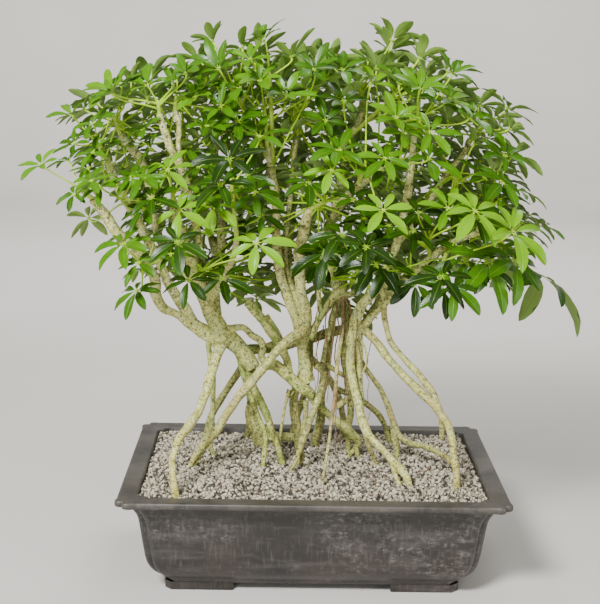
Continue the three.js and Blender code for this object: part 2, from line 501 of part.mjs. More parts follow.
// The leaves of one shoot. Leaves round the stem follow the golden angle, the lowest spread widest;
// the named hubs reach out from the tip. A leaf is its stalk's foot, its hub and its leaflets.
function leavesOf([foot, tip, whorl, turn, stalk, leaflet, hubs], index) {
  const base = new THREE.Vector3(...foot);
  const top = new THREE.Vector3(...tip);
  const axis = top.clone().sub(base).normalize();
  const side = new THREE.Vector3(Math.abs(axis.x) < 0.7 ? 1 : 0, Math.abs(axis.x) < 0.7 ? 0 : 1, 0);
  const u = side.addScaledVector(axis, -side.dot(axis)).normalize();
  const v = new THREE.Vector3().crossVectors(axis, u);
  const leaves = hubs.map(([x, y, z, size], k) => leafAt(top, new THREE.Vector3(x, y, z), size, index + k));
  for (let k = 0; k < whorl; k += 1) {
    const rise = (k + 0.5) / whorl;
    const around = THREE.MathUtils.degToRad(turn) + k * GOLDEN_ANGLE;
    const open = THREE.MathUtils.degToRad(LOWEST_OPENING - OPENING_FALL * rise);
    const reach = stalk * (0.85 + 0.4 * fraction(k * 0.618 + index * 0.37));
    const heading = axis.clone().multiplyScalar(Math.cos(open))
      .addScaledVector(u, Math.cos(around) * Math.sin(open))
      .addScaledVector(v, Math.sin(around) * Math.sin(open));
    heading.z = Math.max(heading.z + STALK_LIFT, STEEPEST_DIVE);
    heading.normalize();
    const start = base.clone().lerp(top, 0.4 + 0.5 * rise);
    const hub = start.clone().addScaledVector(heading, reach);
    leaves.push(leafAt(start, hub, leaflet * (0.9 + 0.2 * fraction(k * 0.38 + index * 0.61)), index + 2 * k));
  }
  return leaves;
}

function leafAt(foot, hub, length, seed) {
  const heading = hub.clone().sub(foot).normalize();
  const outward = new THREE.Vector3(hub.x * SIDEWAYS, hub.y, 0).normalize();
  const normal = heading.clone().multiplyScalar(FACE_ALONG).addScaledVector(outward, FACE_OUT);
  normal.z += FACE_UP;
  normal.normalize();
  const ahead = heading.clone().addScaledVector(normal, -heading.dot(normal)).normalize();
  const aside = new THREE.Vector3().crossVectors(normal, ahead);
  const lift = Math.min(MOST_LIFT, CROWN_LIFT * Math.max(hub.z - CROWN_Z, 0));
  const droop = DROOP_SPREAD * fraction(seed * 0.618) - lift;
  const stalk = [foot, hub.clone().addScaledVector(normal, -LEAF_CROWN)];
  if (normal.dot(heading) < Math.sin(droop) + 0.1) {
    stalk.splice(1, 0, hub.clone().addScaledVector(normal, -STALK_BEND).addScaledVector(heading, -STALK_BEND / 2));
  }
  return { hub, stalk, length, normal, ahead, aside, droop, count: 6 + (seed % 2) };
}

// The three-sided rings of a leaf's stalk, from the plate's underside down to the foot.
function stalkRings({ normal, aside, stalk }, grow) {
  const path = [...stalk].reverse();
  const radius = PETIOLE_RADIUS + 2 * grow;
  return path.flatMap((centre, i) => {
    const along = i === 0 ? normal.clone() : path[i - 1].clone().sub(centre).normalize();
    if (i > 0 && i < path.length - 1) {
      along.add(centre.clone().sub(path[i + 1]).normalize()).normalize();
    }
    const across = new THREE.Vector3().crossVectors(aside, along);
    const middle = i === 0 ? centre.clone().addScaledVector(normal, -2 * grow) : centre;
    return [0, 1, 2].map((a) => middle.clone()
      .addScaledVector(across, Math.cos((a / 3) * 2 * Math.PI) * radius)
      .addScaledVector(aside, Math.sin((a / 3) * 2 * Math.PI) * radius));
  });
}

// The faces of a stalk's sides and of its foot, for rings that start at the given point number.
function stalkFaces(first, last) {
  const faces = [[last, last + 2, last + 1]];
  for (let low = first; low < last; low += 3) {
    for (let a = 0; a < 3; a += 1) {
      const b = (a + 1) % 3;
      faces.push([low + a, low + 3 + a, low + 3 + b], [low + a, low + 3 + b, low + b]);
    }
  }
  return faces;
}

function stalkSolid(leaf, grow) {
  const points = stalkRings(leaf, grow);
  return solidFrom(points, [[0, 1, 2], ...stalkFaces(0, points.length - 3)]);
}

// A compound leaf: a star plate, one ray for each leaflet and a notch over the stalk, on a
// three-sided stalk that turns up under the plate where it comes in level or from above.
function leafSolid(leaf, grow = 0) {
  const { hub, length, normal, ahead, aside, droop, count } = leaf;
  const points = [hub.clone().addScaledVector(normal, LEAF_CROWN + grow)];
  const rim = count * 2;
  for (let i = 0; i < rim; i += 1) {
    const angle = ((i + 1 - (count % 2)) / rim) * 2 * Math.PI;
    const full = length * (0.86 + 0.14 * Math.cos(angle)) + grow;
    const reach = i % 2 === 0 ? full : NOTCH_REACH * length + grow;
    points.push(hub.clone()
      .addScaledVector(ahead, Math.cos(angle) * reach * Math.cos(droop))
      .addScaledVector(aside, Math.sin(angle) * reach * Math.cos(droop))
      .addScaledVector(normal, -reach * Math.sin(droop)));
  }
  const ring = points.length;
  points.push(...stalkRings(leaf, grow));
  const faces = stalkFaces(ring, points.length - 3);
  for (let i = 0; i < rim; i += 1) {
    const here = 1 + i;
    const next = 1 + ((i + 1) % rim);
    const a = Math.floor((3 * i) / rim);
    const b = Math.floor((3 * (i + 1)) / rim) % 3;
    faces.push([0, here, next], [here, ring + a, next]);
    if (a !== b) {
      faces.push([ring + a, ring + b, next]);
    }
  }
  return solidFrom(points, faces);
}

function stemSolid([foot, tip], grow = 0) {
  const base = new THREE.Vector3(...foot);
  const top = new THREE.Vector3(...tip);
  const axis = top.clone().sub(base).normalize();
  const root = base.clone().addScaledVector(axis, -3);
  const bud = top.clone().addScaledVector(axis, 4);
  return taperedTube([
    [...root.toArray(), STEM_RADIUS], [...base.toArray(), STEM_RADIUS],
    [...top.toArray(), STEM_RADIUS * 0.85], [...bud.toArray(), STEM_RADIUS * 0.4],
  ], 5, grow);
}

// The stem and the stalks alone, with clearance: what the blades of other shoots give way to.
function stalksRoom(shoot, index) {
  return leavesOf(shoot, index).reduce((sum, leaf) => sum.add(stalkSolid(leaf, SEAT)), stemSolid(shoot, SEAT));
}

function shootSolid(shoot, index, grow = 0) {
  return leavesOf(shoot, index)
    .reduce((sum, leaf) => sum.add(leafSolid(leaf, grow)), stemSolid(shoot, grow));
}

const tree = new THREE.Group();

function place(name, solid, color, roughness) {
  const material = new THREE.MeshStandardMaterial({ color, roughness, metalness: 0 });
  const mesh = new THREE.Mesh(geometryOf(solid), material);
  mesh.name = name;
  tree.add(mesh);
}

place('pot', potSolid(), '#45423f', 0.62);
place('drainage_screen_left', screenSolid(-HOLE_X), '#2c2c2c', 0.6);
place('drainage_screen_right', screenSolid(HOLE_X), '#2c2c2c', 0.6);

// Wood first, each stem cut back from those before it where they meet.
const woodGrown = [];
for (const [name, limbs] of Object.entries(WOOD)) {
  let solid = woodSolid(limbs);
  for (const other of woodGrown) {
    if (boxesMeet(solid, other)) {
      solid = solid.subtract(other);
    }
  }
  woodGrown.push(woodSolid(limbs, SEAT));
  place(name, largestBody(solid), name.includes('root') ? '#cfc9a2' : '#bdb594', 0.8);
}

let grit = loft(GRIT_SECTION.map(([z, inset]) => potRing(z, inset)));
for (const other of [...woodGrown, screenRoom(-HOLE_X), screenRoom(HOLE_X)]) {
  grit = grit.subtract(other);
}
place('grit_bed', largestBody(grit), '#a09a95', 0.95);

// Leafy shoots. Each is cut back from the wood; where two shoots cross, blades give way to stems
// and stalks, and otherwise the later shoot gives way to the earlier one.
const stalksOf = SHOOTS.map(stalksRoom);
const shootsGrown = [];
const finished = [];
SHOOTS.forEach((shoot, index) => {
  let solid = shootSolid(shoot, index);
  const own = stalksOf[index];
  const cutBy = (other) => {
    if (boxesMeet(solid, other)) {
      solid = solid.subtract(other);
    }
  };
  woodGrown.forEach(cutBy);
  stalksOf.slice(0, index).forEach(cutBy);
  [...stalksOf.slice(index + 1), ...shootsGrown]
    .filter((other) => boxesMeet(solid, other))
    .forEach((other) => cutBy(other.subtract(own)));
  finished.filter((other) => solid.intersect(other).volume() > SLIVER).forEach(cutBy);
  solid = largestBody(solid);
  finished.push(solid);
  shootsGrown.push(shootSolid(shoot, index, SEAT));
  const name = `leafy_shoot_${String(index + 1).padStart(2, '0')}`;
  place(name, solid, '#5f9c2b', 0.45);
});

export default tree;
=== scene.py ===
import math

import bpy
import numpy as np
from mathutils import Matrix


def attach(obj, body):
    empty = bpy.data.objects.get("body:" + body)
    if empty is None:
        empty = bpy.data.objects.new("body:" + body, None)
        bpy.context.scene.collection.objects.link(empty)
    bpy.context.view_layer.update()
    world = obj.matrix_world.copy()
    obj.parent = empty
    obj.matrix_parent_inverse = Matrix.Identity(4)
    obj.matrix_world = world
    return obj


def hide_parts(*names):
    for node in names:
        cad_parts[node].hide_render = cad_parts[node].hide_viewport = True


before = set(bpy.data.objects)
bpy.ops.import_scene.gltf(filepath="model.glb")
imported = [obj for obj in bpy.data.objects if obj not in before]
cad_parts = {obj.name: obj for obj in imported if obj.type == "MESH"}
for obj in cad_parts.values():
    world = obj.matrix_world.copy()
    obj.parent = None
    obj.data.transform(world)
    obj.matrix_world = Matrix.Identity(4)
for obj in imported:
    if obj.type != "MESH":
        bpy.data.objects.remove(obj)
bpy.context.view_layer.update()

# Pot. One moulded piece of charcoal plastic: an oblong tray with a broad flat lip, corners cut back
# into two small lobes, walls that taper to a turned-in foot line, and four L-shaped feet.
# Dusty, with brownish bloom near the lip and pale scuffs along the walls.


def colour(text):
    """Linear colour of an sRGB hex text: c / 12.92, or ((c + 0.055) / 1.055) ** 2.4 above 0.04045."""
    values = [int(text[i:i + 2], 16) / 255 for i in (1, 3, 5)]
    return [v / 12.92 if v <= 0.04045 else ((v + 0.055) / 1.055) ** 2.4 for v in values] + [1.0]


def add(tree, kind, inputs, output=0, stops=(), **settings):
    """Adds a shader node and gives one of its outputs. inputs maps its sockets to a number, a vector,
    an sRGB hex text or another node's output; stops are the (place, hex) pairs of a colour ramp."""
    node = tree.nodes.new("ShaderNode" + kind)
    for key, value in settings.items():
        setattr(node, key, value)
    for _ in stops[2:]:
        node.color_ramp.elements.new(0.5)
    for number, (place, text) in enumerate(stops):
        node.color_ramp.elements[number].position = place
        node.color_ramp.elements[number].color = colour(text)
    for socket, value in inputs.items():
        if isinstance(value, bpy.types.NodeSocket):
            tree.links.new(value, node.inputs[socket])
        else:
            node.inputs[socket].default_value = colour(value) if isinstance(value, str) else value
    return node.outputs[output]


# What a Mix of two colours needs: its factor is socket 0, its colours are sockets 6 and 7. Then a
# MapRange that is smooth between its two ends, and a product.
BLEND = {"output": 2, "data_type": "RGBA"}
SMOOTH = {"interpolation_type": "SMOOTHSTEP"}
TIMES = {"operation": "MULTIPLY"}


def material(name):
    """A new material, its node tree and its principled shader."""
    made = bpy.data.materials.new(name)
    made.use_nodes = True
    return made, made.node_tree, made.node_tree.nodes["Principled BSDF"]


def piece(name, parts, finish, nodes=()):
    """One mesh object from parts in millimetres, smooth unless its first part is flat.
    A part has points (n, 3), quads (m, 4), triangles (k, 3), values per point, values per face, and
    may mark points as margin: an edge between two margin points is sharp."""
    points, loops, sizes, offset = [], [], [], 0
    for part in parts:
        points.append(part["points"])
        for faces in (part.get("quads"), part.get("triangles")):
            if faces is not None and len(faces):
                loops.append((np.asarray(faces) + offset).ravel())
                sizes.append(np.full(len(faces), np.shape(faces)[1]))
        offset += len(part["points"])
    points, loops, sizes = (np.concatenate(v) for v in (points, loops, sizes))
    mesh = bpy.data.meshes.new(name)
    mesh.vertices.add(len(points))
    mesh.vertices.foreach_set("co", (points / 1000).astype(np.float32).ravel())
    mesh.loops.add(len(loops))
    mesh.loops.foreach_set("vertex_index", loops.astype(np.int32))
    mesh.polygons.add(len(sizes))
    mesh.polygons.foreach_set("loop_start", (np.cumsum(sizes) - sizes).astype(np.int32))
    mesh.update(calc_edges=True)
    mesh.polygons.foreach_set("use_smooth", np.full(len(sizes), not parts[0].get("flat", False)))
    for domain, key in (("POINT", "values"), ("FACE", "face_values")):
        for label in parts[0].get(key, {}):
            data = np.concatenate([part[key][label] for part in parts]).astype(np.float32)
            kind = "FLOAT_VECTOR" if data.ndim == 2 else "FLOAT"
            store = mesh.attributes.new(label, kind, domain).data
            store.foreach_set("vector" if data.ndim == 2 else "value", data.ravel())
    if "margin" in parts[0]:
        margin = np.concatenate([part["margin"] for part in parts])
        ends = np.empty(len(mesh.edges) * 2, np.int32)
        mesh.edges.foreach_get("vertices", ends)
        ends = ends.reshape(-1, 2)
        mesh.edges.foreach_set("use_edge_sharp", margin[ends[:, 0]] & margin[ends[:, 1]])
    mesh.materials.append(finish)
    made = bpy.data.objects.new(name, mesh)
    bpy.context.scene.collection.objects.link(made)
    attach(made, "root")
    if nodes:
        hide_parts(*nodes)
    return made


def grid_faces(rows, columns, closed=True, offset=0):
    """Quads between rows of points, each row a loop if closed."""
    r, c = np.meshgrid(np.arange(rows - 1), np.arange(columns if closed else columns - 1), indexing="ij")
    right = (c + 1) % columns
    quads = np.stack([r * columns + c, r * columns + right, (r + 1) * columns + right,
                      (r + 1) * columns + c], axis=-1)
    return quads.reshape(-1, 4) + offset


# Half the length and half the width of the pot over its lip.
lip_x, lip_y = 230, 167.5


def pot_plan(inset, cut, lobe):
    """Outline of the pot at one height, anticlockwise from the middle of its right side.
    A corner runs straight across cut millimetres, bulged out by lobe * cut * |sin(2 pi t)| ** 0.6."""
    x, y = lip_x - inset, lip_y - inset
    t = np.linspace(0, 1, 25)
    bulge = lobe * cut * np.abs(np.sin(2 * np.pi * t)) ** 0.6 / math.sqrt(2)
    corner = np.stack([x - cut * t + bulge, y - cut * (1 - t) + bulge], axis=1)
    side = np.stack([np.full(12, x), np.linspace(0, y - cut, 13)[:-1]], axis=1)
    front = np.stack([np.linspace(x - cut, 0, 17)[1:], np.full(16, y)], axis=1)
    quarter = np.concatenate([side, corner, front])
    half = np.concatenate([quarter[:-1], (quarter * [-1, 1])[::-1]])
    return np.concatenate([half[:-1], (half * [-1, -1])[:-1]])


# Height, inset from the lip's edge, corner cut, lobe: up the outside, over the lip, down the inside.
pot_rings = [
    (9, 57, 12, 0.02), (9.2, 55, 12, 0.03), (10.4, 53, 13, 0.04), (13, 51.3, 13, 0.06), (16, 50, 14, 0.08),
    (18, 47.8, 14, 0.1), (20, 45, 15, 0.12), (22, 42.6, 15, 0.13), (26, 38.8, 16, 0.15),
    (31, 35.4, 17, 0.16), (38, 32.4, 17, 0.16), (47, 30.2, 18, 0.16), (60, 28.2, 18, 0.16),
    (77, 26, 18, 0.16), (90, 24.3, 18, 0.17), (97, 23, 18, 0.18), (102, 21.3, 18, 0.2),
    (105.6, 19.7, 18, 0.22), (107, 18.6, 18, 0.22), (109, 18, 18, 0.23), (112, 16.6, 18, 0.24),
    (114.6, 15.2, 18, 0.26), (116.6, 13.8, 18, 0.28), (117.8, 12, 18, 0.3), (118.3, 9, 18, 0.32),
    (118.6, 5, 18, 0.33), (119, 2, 18, 0.34), (119.9, 0.6, 18, 0.34), (121.4, 0, 18, 0.34),
    (124.6, 0.1, 18, 0.34), (126.1, 0.5, 18, 0.34), (126.9, 1.6, 18, 0.34), (127.1, 4, 18, 0.32),
    (126.9, 12, 18, 0.22), (127, 19.6, 17, 0.14), (126.8, 21, 17, 0.12), (126.2, 21.9, 17, 0.12),
    (125, 22.4, 17, 0.12), (107, 25, 17, 0.1), (77, 31.5, 16, 0.1), (47, 36, 16, 0.1), (31, 41, 15, 0.08),
    (20, 50, 14, 0.05), (15, 56, 13, 0.03), (14, 62, 12, 0.02),
]
plans = [pot_plan(inset, cut, lobe) for _, inset, cut, lobe in pot_rings]
around = len(plans[0])
shell = np.concatenate([np.column_stack([plan, np.full(around, ring[0])])
                        for plan, ring in zip(plans, pot_rings)])
# The long walls of a thin moulding wave in and out by half a millimetre between foot and lip.
wave = np.sin(shell[:, 0] / 61)
wave *= np.clip((110 - shell[:, 2]) / 60, 0, 1) * np.clip((shell[:, 2] - 20) / 30, 0, 1)
shell[:, 1] += 0.5 * wave * np.sign(shell[:, 1])
pot_parts = [{"points": shell, "quads": grid_faces(len(plans), around)}]


def holed_half(outline, side, x, radius, low, high):
    """Half of the pot's floor with one round hole at x: low and high surface and the hole's wall.
    Each point of the half outline is joined to the hole's rim point that lies at the same angle."""
    rim = outline[outline[:, 0] * side > 1e-6]
    deep = np.abs(outline[:, 1]).max()
    middle = np.column_stack([np.zeros(13), np.linspace(-deep, deep, 13)])
    loop = np.concatenate([rim, middle]) - [x, 0]
    angle = np.sort(np.arctan2(loop[:, 1], loop[:, 0]))
    loop = loop[np.argsort(np.arctan2(loop[:, 1], loop[:, 0]))] + [x, 0]
    hole = np.column_stack([x + radius * np.cos(angle), radius * np.sin(angle)])
    rings = [(loop, low), (hole, low), (hole, high), (loop, high)]
    points = np.concatenate([np.column_stack([ring, np.full(len(ring), z)]) for ring, z in rings])
    return {"points": points, "quads": grid_faces(4, len(loop))}


# Two drainage holes. Of the three bands between four rings, one is kept each time: the under face
# of the floor, its upper face, and the wall of the hole.
hole_x, hole_radius = 95, 14
for side in (-1, 1):
    for outline, low, high, band in ((plans[0], 9, 9.4, 0), (plans[-1], 13.6, 14, 2),
                                     (plans[-1] * 0.98, 9.2, 13.8, 1)):
        part = holed_half(outline, side, side * hole_x, hole_radius, low, high)
        count = len(part["points"]) // 4
        part["quads"] = part["quads"][band * count:(band + 1) * count]
        pot_parts.append(part)


def foot(side_x, side_y):
    """An L-shaped foot, 82 by 64 mm over its two arms, which are 24 mm wide. Its outline shrinks by m
    at the rounded bottom edge and its top ends in the floor."""
    rings = []
    for z, m in ((0, 0.9), (0.3, 0.35), (0.9, 0), (4, -0.1), (7, -0.2), (10.5, -0.35)):
        outline = [(95 + m, 114 - m), (169 - 0.4 * m, 114 - m), (177 - m, 106 - 0.4 * m),
                   (177 - m, 50 + m), (153 + m, 50 + m), (153 + m, 90 + m), (95 + m, 90 + m)]
        rings.append([(x * side_x, y * side_y, z) for x, y in outline])
    quads = grid_faces(len(rings), 7)[:, ::-1]
    base = np.array([(0, 1, 5), (0, 5, 6), (1, 2, 5), (2, 3, 5), (3, 4, 5)])
    if side_x * side_y < 0:
        quads, base = quads[:, ::-1], base[:, ::-1]
    return {"points": np.array(rings, float).reshape(-1, 3), "quads": quads, "triangles": base}


pot_parts += [foot(x, y) for x in (-1, 1) for y in (-1, 1)]

# Mineral-filled polypropylene, moulded: dull and dark. Water and handling leave level streaks 10 mm
# high and 55 mm long, upright runs 4 mm wide, clouds of 70 mm and, in patches of 125 mm, scratches
# of 6 to 10 mm. The mould's own grain is 1.1 mm. Dirt gathers below 100 mm, pale bloom on the lip.
plastic, tree, shader = material("charcoal_pot_plastic")
where = add(tree, "TexCoord", {}, "Object")
level = add(tree, "VectorMath", {0: where, 1: (0.3, 0.3, 1.6)}, **TIMES)
upright = add(tree, "VectorMath", {0: where, 1: (2.5, 2.5, 0.12)}, **TIMES)
slanting = add(tree, "VectorMath", {0: where, 1: (0.8, 0.8, 1.3)}, **TIMES)
height = add(tree, "SeparateXYZ", {0: where}, "Z")
streaks = add(tree, "TexNoise", {"Vector": level, "Scale": 60, "Detail": 5, "Roughness": 0.62})
runs = add(tree, "TexNoise", {"Vector": upright, "Scale": 110, "Detail": 3, "Roughness": 0.6})
cloud = add(tree, "TexNoise", {"Vector": where, "Scale": 14, "Detail": 5, "Roughness": 0.6})
patch = add(tree, "TexNoise", {"Vector": where, "Scale": 8, "Detail": 2, "Roughness": 0.5})
scratch = add(tree, "TexNoise", {"Vector": slanting, "Scale": 130, "Detail": 6, "Roughness": 0.8})
grain = add(tree, "TexNoise", {"Vector": where, "Scale": 900, "Detail": 2, "Roughness": 0.6})
worn = add(tree, "MapRange", {"Value": cloud, "From Min": 0.3, "From Max": 0.7}, **SMOOTH)
low = add(tree, "MapRange", {"Value": height, "From Min": 0.1, "From Max": 0.02, "To Max": 0.5},
          **SMOOTH)
muddy = add(tree, "MapRange", {"Value": cloud, "From Min": 0.35, "From Max": 0.65}, **SMOOTH)
mud = add(tree, "Math", {0: low, 1: muddy}, **TIMES)
dust = add(tree, "MapRange", {"Value": streaks, "From Min": 0.45, "From Max": 0.75, "To Max": 0.4},
           **SMOOTH)
lime = add(tree, "MapRange", {"Value": runs, "From Min": 0.5, "From Max": 0.75, "To Max": 0.25},
           **SMOOTH)
rubbed = add(tree, "MapRange", {"Value": patch, "From Min": 0.5, "From Max": 0.7, "To Max": 0.5},
             **SMOOTH)
marked = add(tree, "MapRange", {"Value": scratch, "From Min": 0.48, "From Max": 0.68}, **SMOOTH)
scuff = add(tree, "Math", {0: rubbed, 1: marked}, **TIMES)
lip = add(tree, "MapRange", {"Value": height, "From Min": 0.1165, "From Max": 0.1262, "To Max": 0.6},
          **SMOOTH)
dry = add(tree, "MapRange", {"Value": cloud, "From Min": 0.3, "From Max": 0.6}, **SMOOTH)
bloom = add(tree, "Math", {0: lip, 1: dry}, **TIMES)
base = add(tree, "Mix", {0: worn, 6: "#211f1e", 7: "#2f2c2a"}, **BLEND)
for share, text in ((mud, "#403228"), (dust, "#5f5b57"), (lime, "#6f6b66"), (scuff, "#8b8781"),
                    (bloom, "#5c574e")):
    base = add(tree, "Mix", {0: share, 6: base, 7: text}, **BLEND)
rough = add(tree, "Math", {0: dust, 1: 0.5, 2: 0.44}, operation="MULTIPLY_ADD")
rise = add(tree, "Math", {0: grain, 1: 0.25, 2: streaks}, operation="MULTIPLY_ADD")
bump = add(tree, "Bump", {"Height": rise, "Distance": 0.00025, "Strength": 1.0})
tree.links.new(base, shader.inputs["Base Color"])
tree.links.new(rough, shader.inputs["Roughness"])
tree.links.new(bump, shader.inputs["Normal"])
piece("pot_shell", pot_parts, plastic, ["pot"])

# Drainage screens. Two squares of black plastic mesh that lie over the holes and keep the grit in.
# They stay as the CAD has them, in black polypropylene with a faint mottle of 2 mm, half matt.
mesh_plastic, tree, shader = material("black_screen_plastic")
where = add(tree, "TexCoord", {}, "Object")
speck = add(tree, "TexNoise", {"Vector": where, "Scale": 500, "Detail": 2, "Roughness": 0.5})
base = add(tree, "Mix", {0: speck, 6: "#161616", 7: "#2a2928"}, **BLEND)
tree.links.new(base, shader.inputs["Base Color"])
shader.inputs["Roughness"].default_value = 0.55
for name in ("drainage_screen_left", "drainage_screen_right"):
    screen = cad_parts[name]
    screen.data.materials.clear()
    screen.data.materials.append(mesh_plastic)

# Grit. Loose chips of crushed stone, 3 to 6 mm, mostly warm grey and beige with some near-black,
# green-grey and rust ones, filled to 5 mm below the lip and a little higher towards the middle.
rng = np.random.default_rng(7)


def grit_height(x, y):
    """Surface of the fill: 120.6 at the edge, up to 123.4 in the middle, with gentle hollows."""
    edge = np.clip(np.minimum(207 - np.abs(x), 144 - np.abs(y)) / 90, 0, 1)
    return 120.6 + 2.8 * edge * (2 - edge) + 0.8 * np.sin(x / 23) * np.cos(y / 19 + x / 47)


# The bed is a grid of points 5 mm apart, drawn in at its corners to follow the pot's.
bed_x, bed_y, cut, columns, rows = 206.5, 144, 17, 84, 58
xs, ys = np.meshgrid(np.linspace(-bed_x, bed_x, columns), np.linspace(-bed_y, bed_y, rows), indexing="ij")
corner_gap = np.maximum(np.abs(xs) - bed_x + cut, 0) + np.maximum(np.abs(ys) - bed_y + cut, 0)
pull = np.maximum(corner_gap - 19, 0) / 2
xs, ys = xs - np.sign(xs) * pull, ys - np.sign(ys) * pull
zs = grit_height(xs, ys) - 1.4 + rng.normal(0, 0.25, xs.shape)
top = np.column_stack([xs.ravel(), ys.ravel(), zs.ravel()])
# A skirt goes down from the edge of the bed to 100 mm, leaning a little inwards.
order = np.arange(columns * rows).reshape(columns, rows)
skirt = np.concatenate([order[:, 0], order[-1, 1:], order[-2::-1, -1], order[0, -2:0:-1]])
low = top[skirt].copy()
low[:, :2] *= [200 / bed_x, 137 / bed_y]
low[:, 2] = 100
wall = np.column_stack([skirt, len(top) + np.arange(len(skirt))])
wall = np.column_stack([wall, np.roll(wall, -1, axis=0)[:, ::-1]])
bed_points = np.concatenate([top, low])
# The bed between the chips is painted dark: painted shade in the gaps, where the deeper chips lie in
# shadow. Its tones are the end of a longer draw, which leaves the chips that are drawn next where they
# are.
painted_gap_shade = 0.14 * rng.random(len(top) + len(bed_points))[len(top):]
bed = {"points": bed_points, "quads": np.concatenate([grid_faces(columns, rows, closed=False), wall]),
       "values": {"chip": painted_gap_shade}, "flat": True}


def chips(count, rng):
    """Stone chips as one part. Each is a twenty-faced solid whose twelve points are pushed in or out
    by up to a third, stretched by three unequal factors, turned at random and half sunk in the bed."""
    gold = (1 + math.sqrt(5)) / 2
    ball = np.array([(-1, gold, 0), (1, gold, 0), (-1, -gold, 0), (1, -gold, 0),
                     (0, -1, gold), (0, 1, gold), (0, -1, -gold), (0, 1, -gold),
                     (gold, 0, -1), (gold, 0, 1), (-gold, 0, -1), (-gold, 0, 1)])
    ball /= np.linalg.norm(ball[0])
    faces = np.array([(0, 11, 5), (0, 5, 1), (0, 1, 7), (0, 7, 10), (0, 10, 11), (1, 5, 9), (5, 11, 4),
                      (11, 10, 2), (10, 7, 6), (7, 1, 8), (3, 9, 4), (3, 4, 2), (3, 2, 6), (3, 6, 8),
                      (3, 8, 9), (4, 9, 5), (2, 4, 11), (6, 2, 10), (8, 6, 7), (9, 8, 1)])
    size = rng.uniform(1.6, 2.9, (count, 1, 1)) * rng.uniform(0.62, 1.2, (count, 1, 3))
    shape = ball * rng.uniform(0.68, 1.06, (count, 12, 1)) * size
    turn = np.linalg.qr(rng.normal(size=(count, 3, 3)))[0]
    turn *= np.sign(np.linalg.det(turn))[:, None, None]
    x, y = rng.uniform(-205, 205, count), rng.uniform(-142.5, 142.5, count)
    z = grit_height(x, y) + rng.uniform(-1.7, 1.1, count)
    points = np.einsum("nij,nkj->nki", turn, shape) + np.stack([x, y, z], axis=1)[:, None]
    # Chips past the cut corners of the pot are left out.
    points = points[np.abs(x) + np.abs(y) <= 336]
    kept = len(points)
    triangles = (faces + 12 * np.arange(kept)[:, None, None]).reshape(-1, 3)
    tone = np.repeat(rng.random(kept), 12)
    return {"points": points.reshape(-1, 3), "triangles": triangles, "values": {"chip": tone},
            "flat": True}


# Crushed stone: dry, matt broken faces. Each chip carries its own number, which picks its
# stone: black, grey, beige, olive, white or rust. The crystals in a face are 0.7 mm.
stone, tree, shader = material("crushed_stone_grit")
where = add(tree, "TexCoord", {}, "Object")
chip = add(tree, "Attribute", {}, "Fac", attribute_name="chip")
kinds = [(0.0, "#2c2926"), (0.1, "#5b564e"), (0.25, "#8d8678"), (0.42, "#aba292"), (0.6, "#c0b8a6"),
         (0.78, "#d4ccba"), (0.88, "#a0a28a"), (0.94, "#e6dfcd"), (0.99, "#7d6450")]
base = add(tree, "ValToRGB", {0: chip}, stops=kinds)
grain = add(tree, "TexNoise", {"Vector": where, "Scale": 1400, "Detail": 3, "Roughness": 0.6})
crystal = add(tree, "ValToRGB", {0: grain}, stops=[(0.3, "#6f6b62"), (0.7, "#d8d4c8")])
base = add(tree, "Mix", {0: 0.55, 6: base, 7: crystal}, blend_type="SOFT_LIGHT", **BLEND)
bump = add(tree, "Bump", {"Height": grain, "Distance": 0.0002, "Strength": 1.0})
tree.links.new(base, shader.inputs["Base Color"])
tree.links.new(bump, shader.inputs["Normal"])
shader.inputs["Roughness"].default_value = 0.92
piece("grit_fill", [bed], stone, ["grit_bed"])
for share in range(2):
    piece(f"grit_chips_{share + 1}", [chips(5200, rng)], stone)

# Wood. Pale stems that fork low and lean outwards, and the aerial roots that dropped from them,
# thickened, twisted round one another and fused where they touch. Smooth thin bark with ring
# scars, specks and lenticels; green algae in the shaded forks, gold or pink skin on young roots.

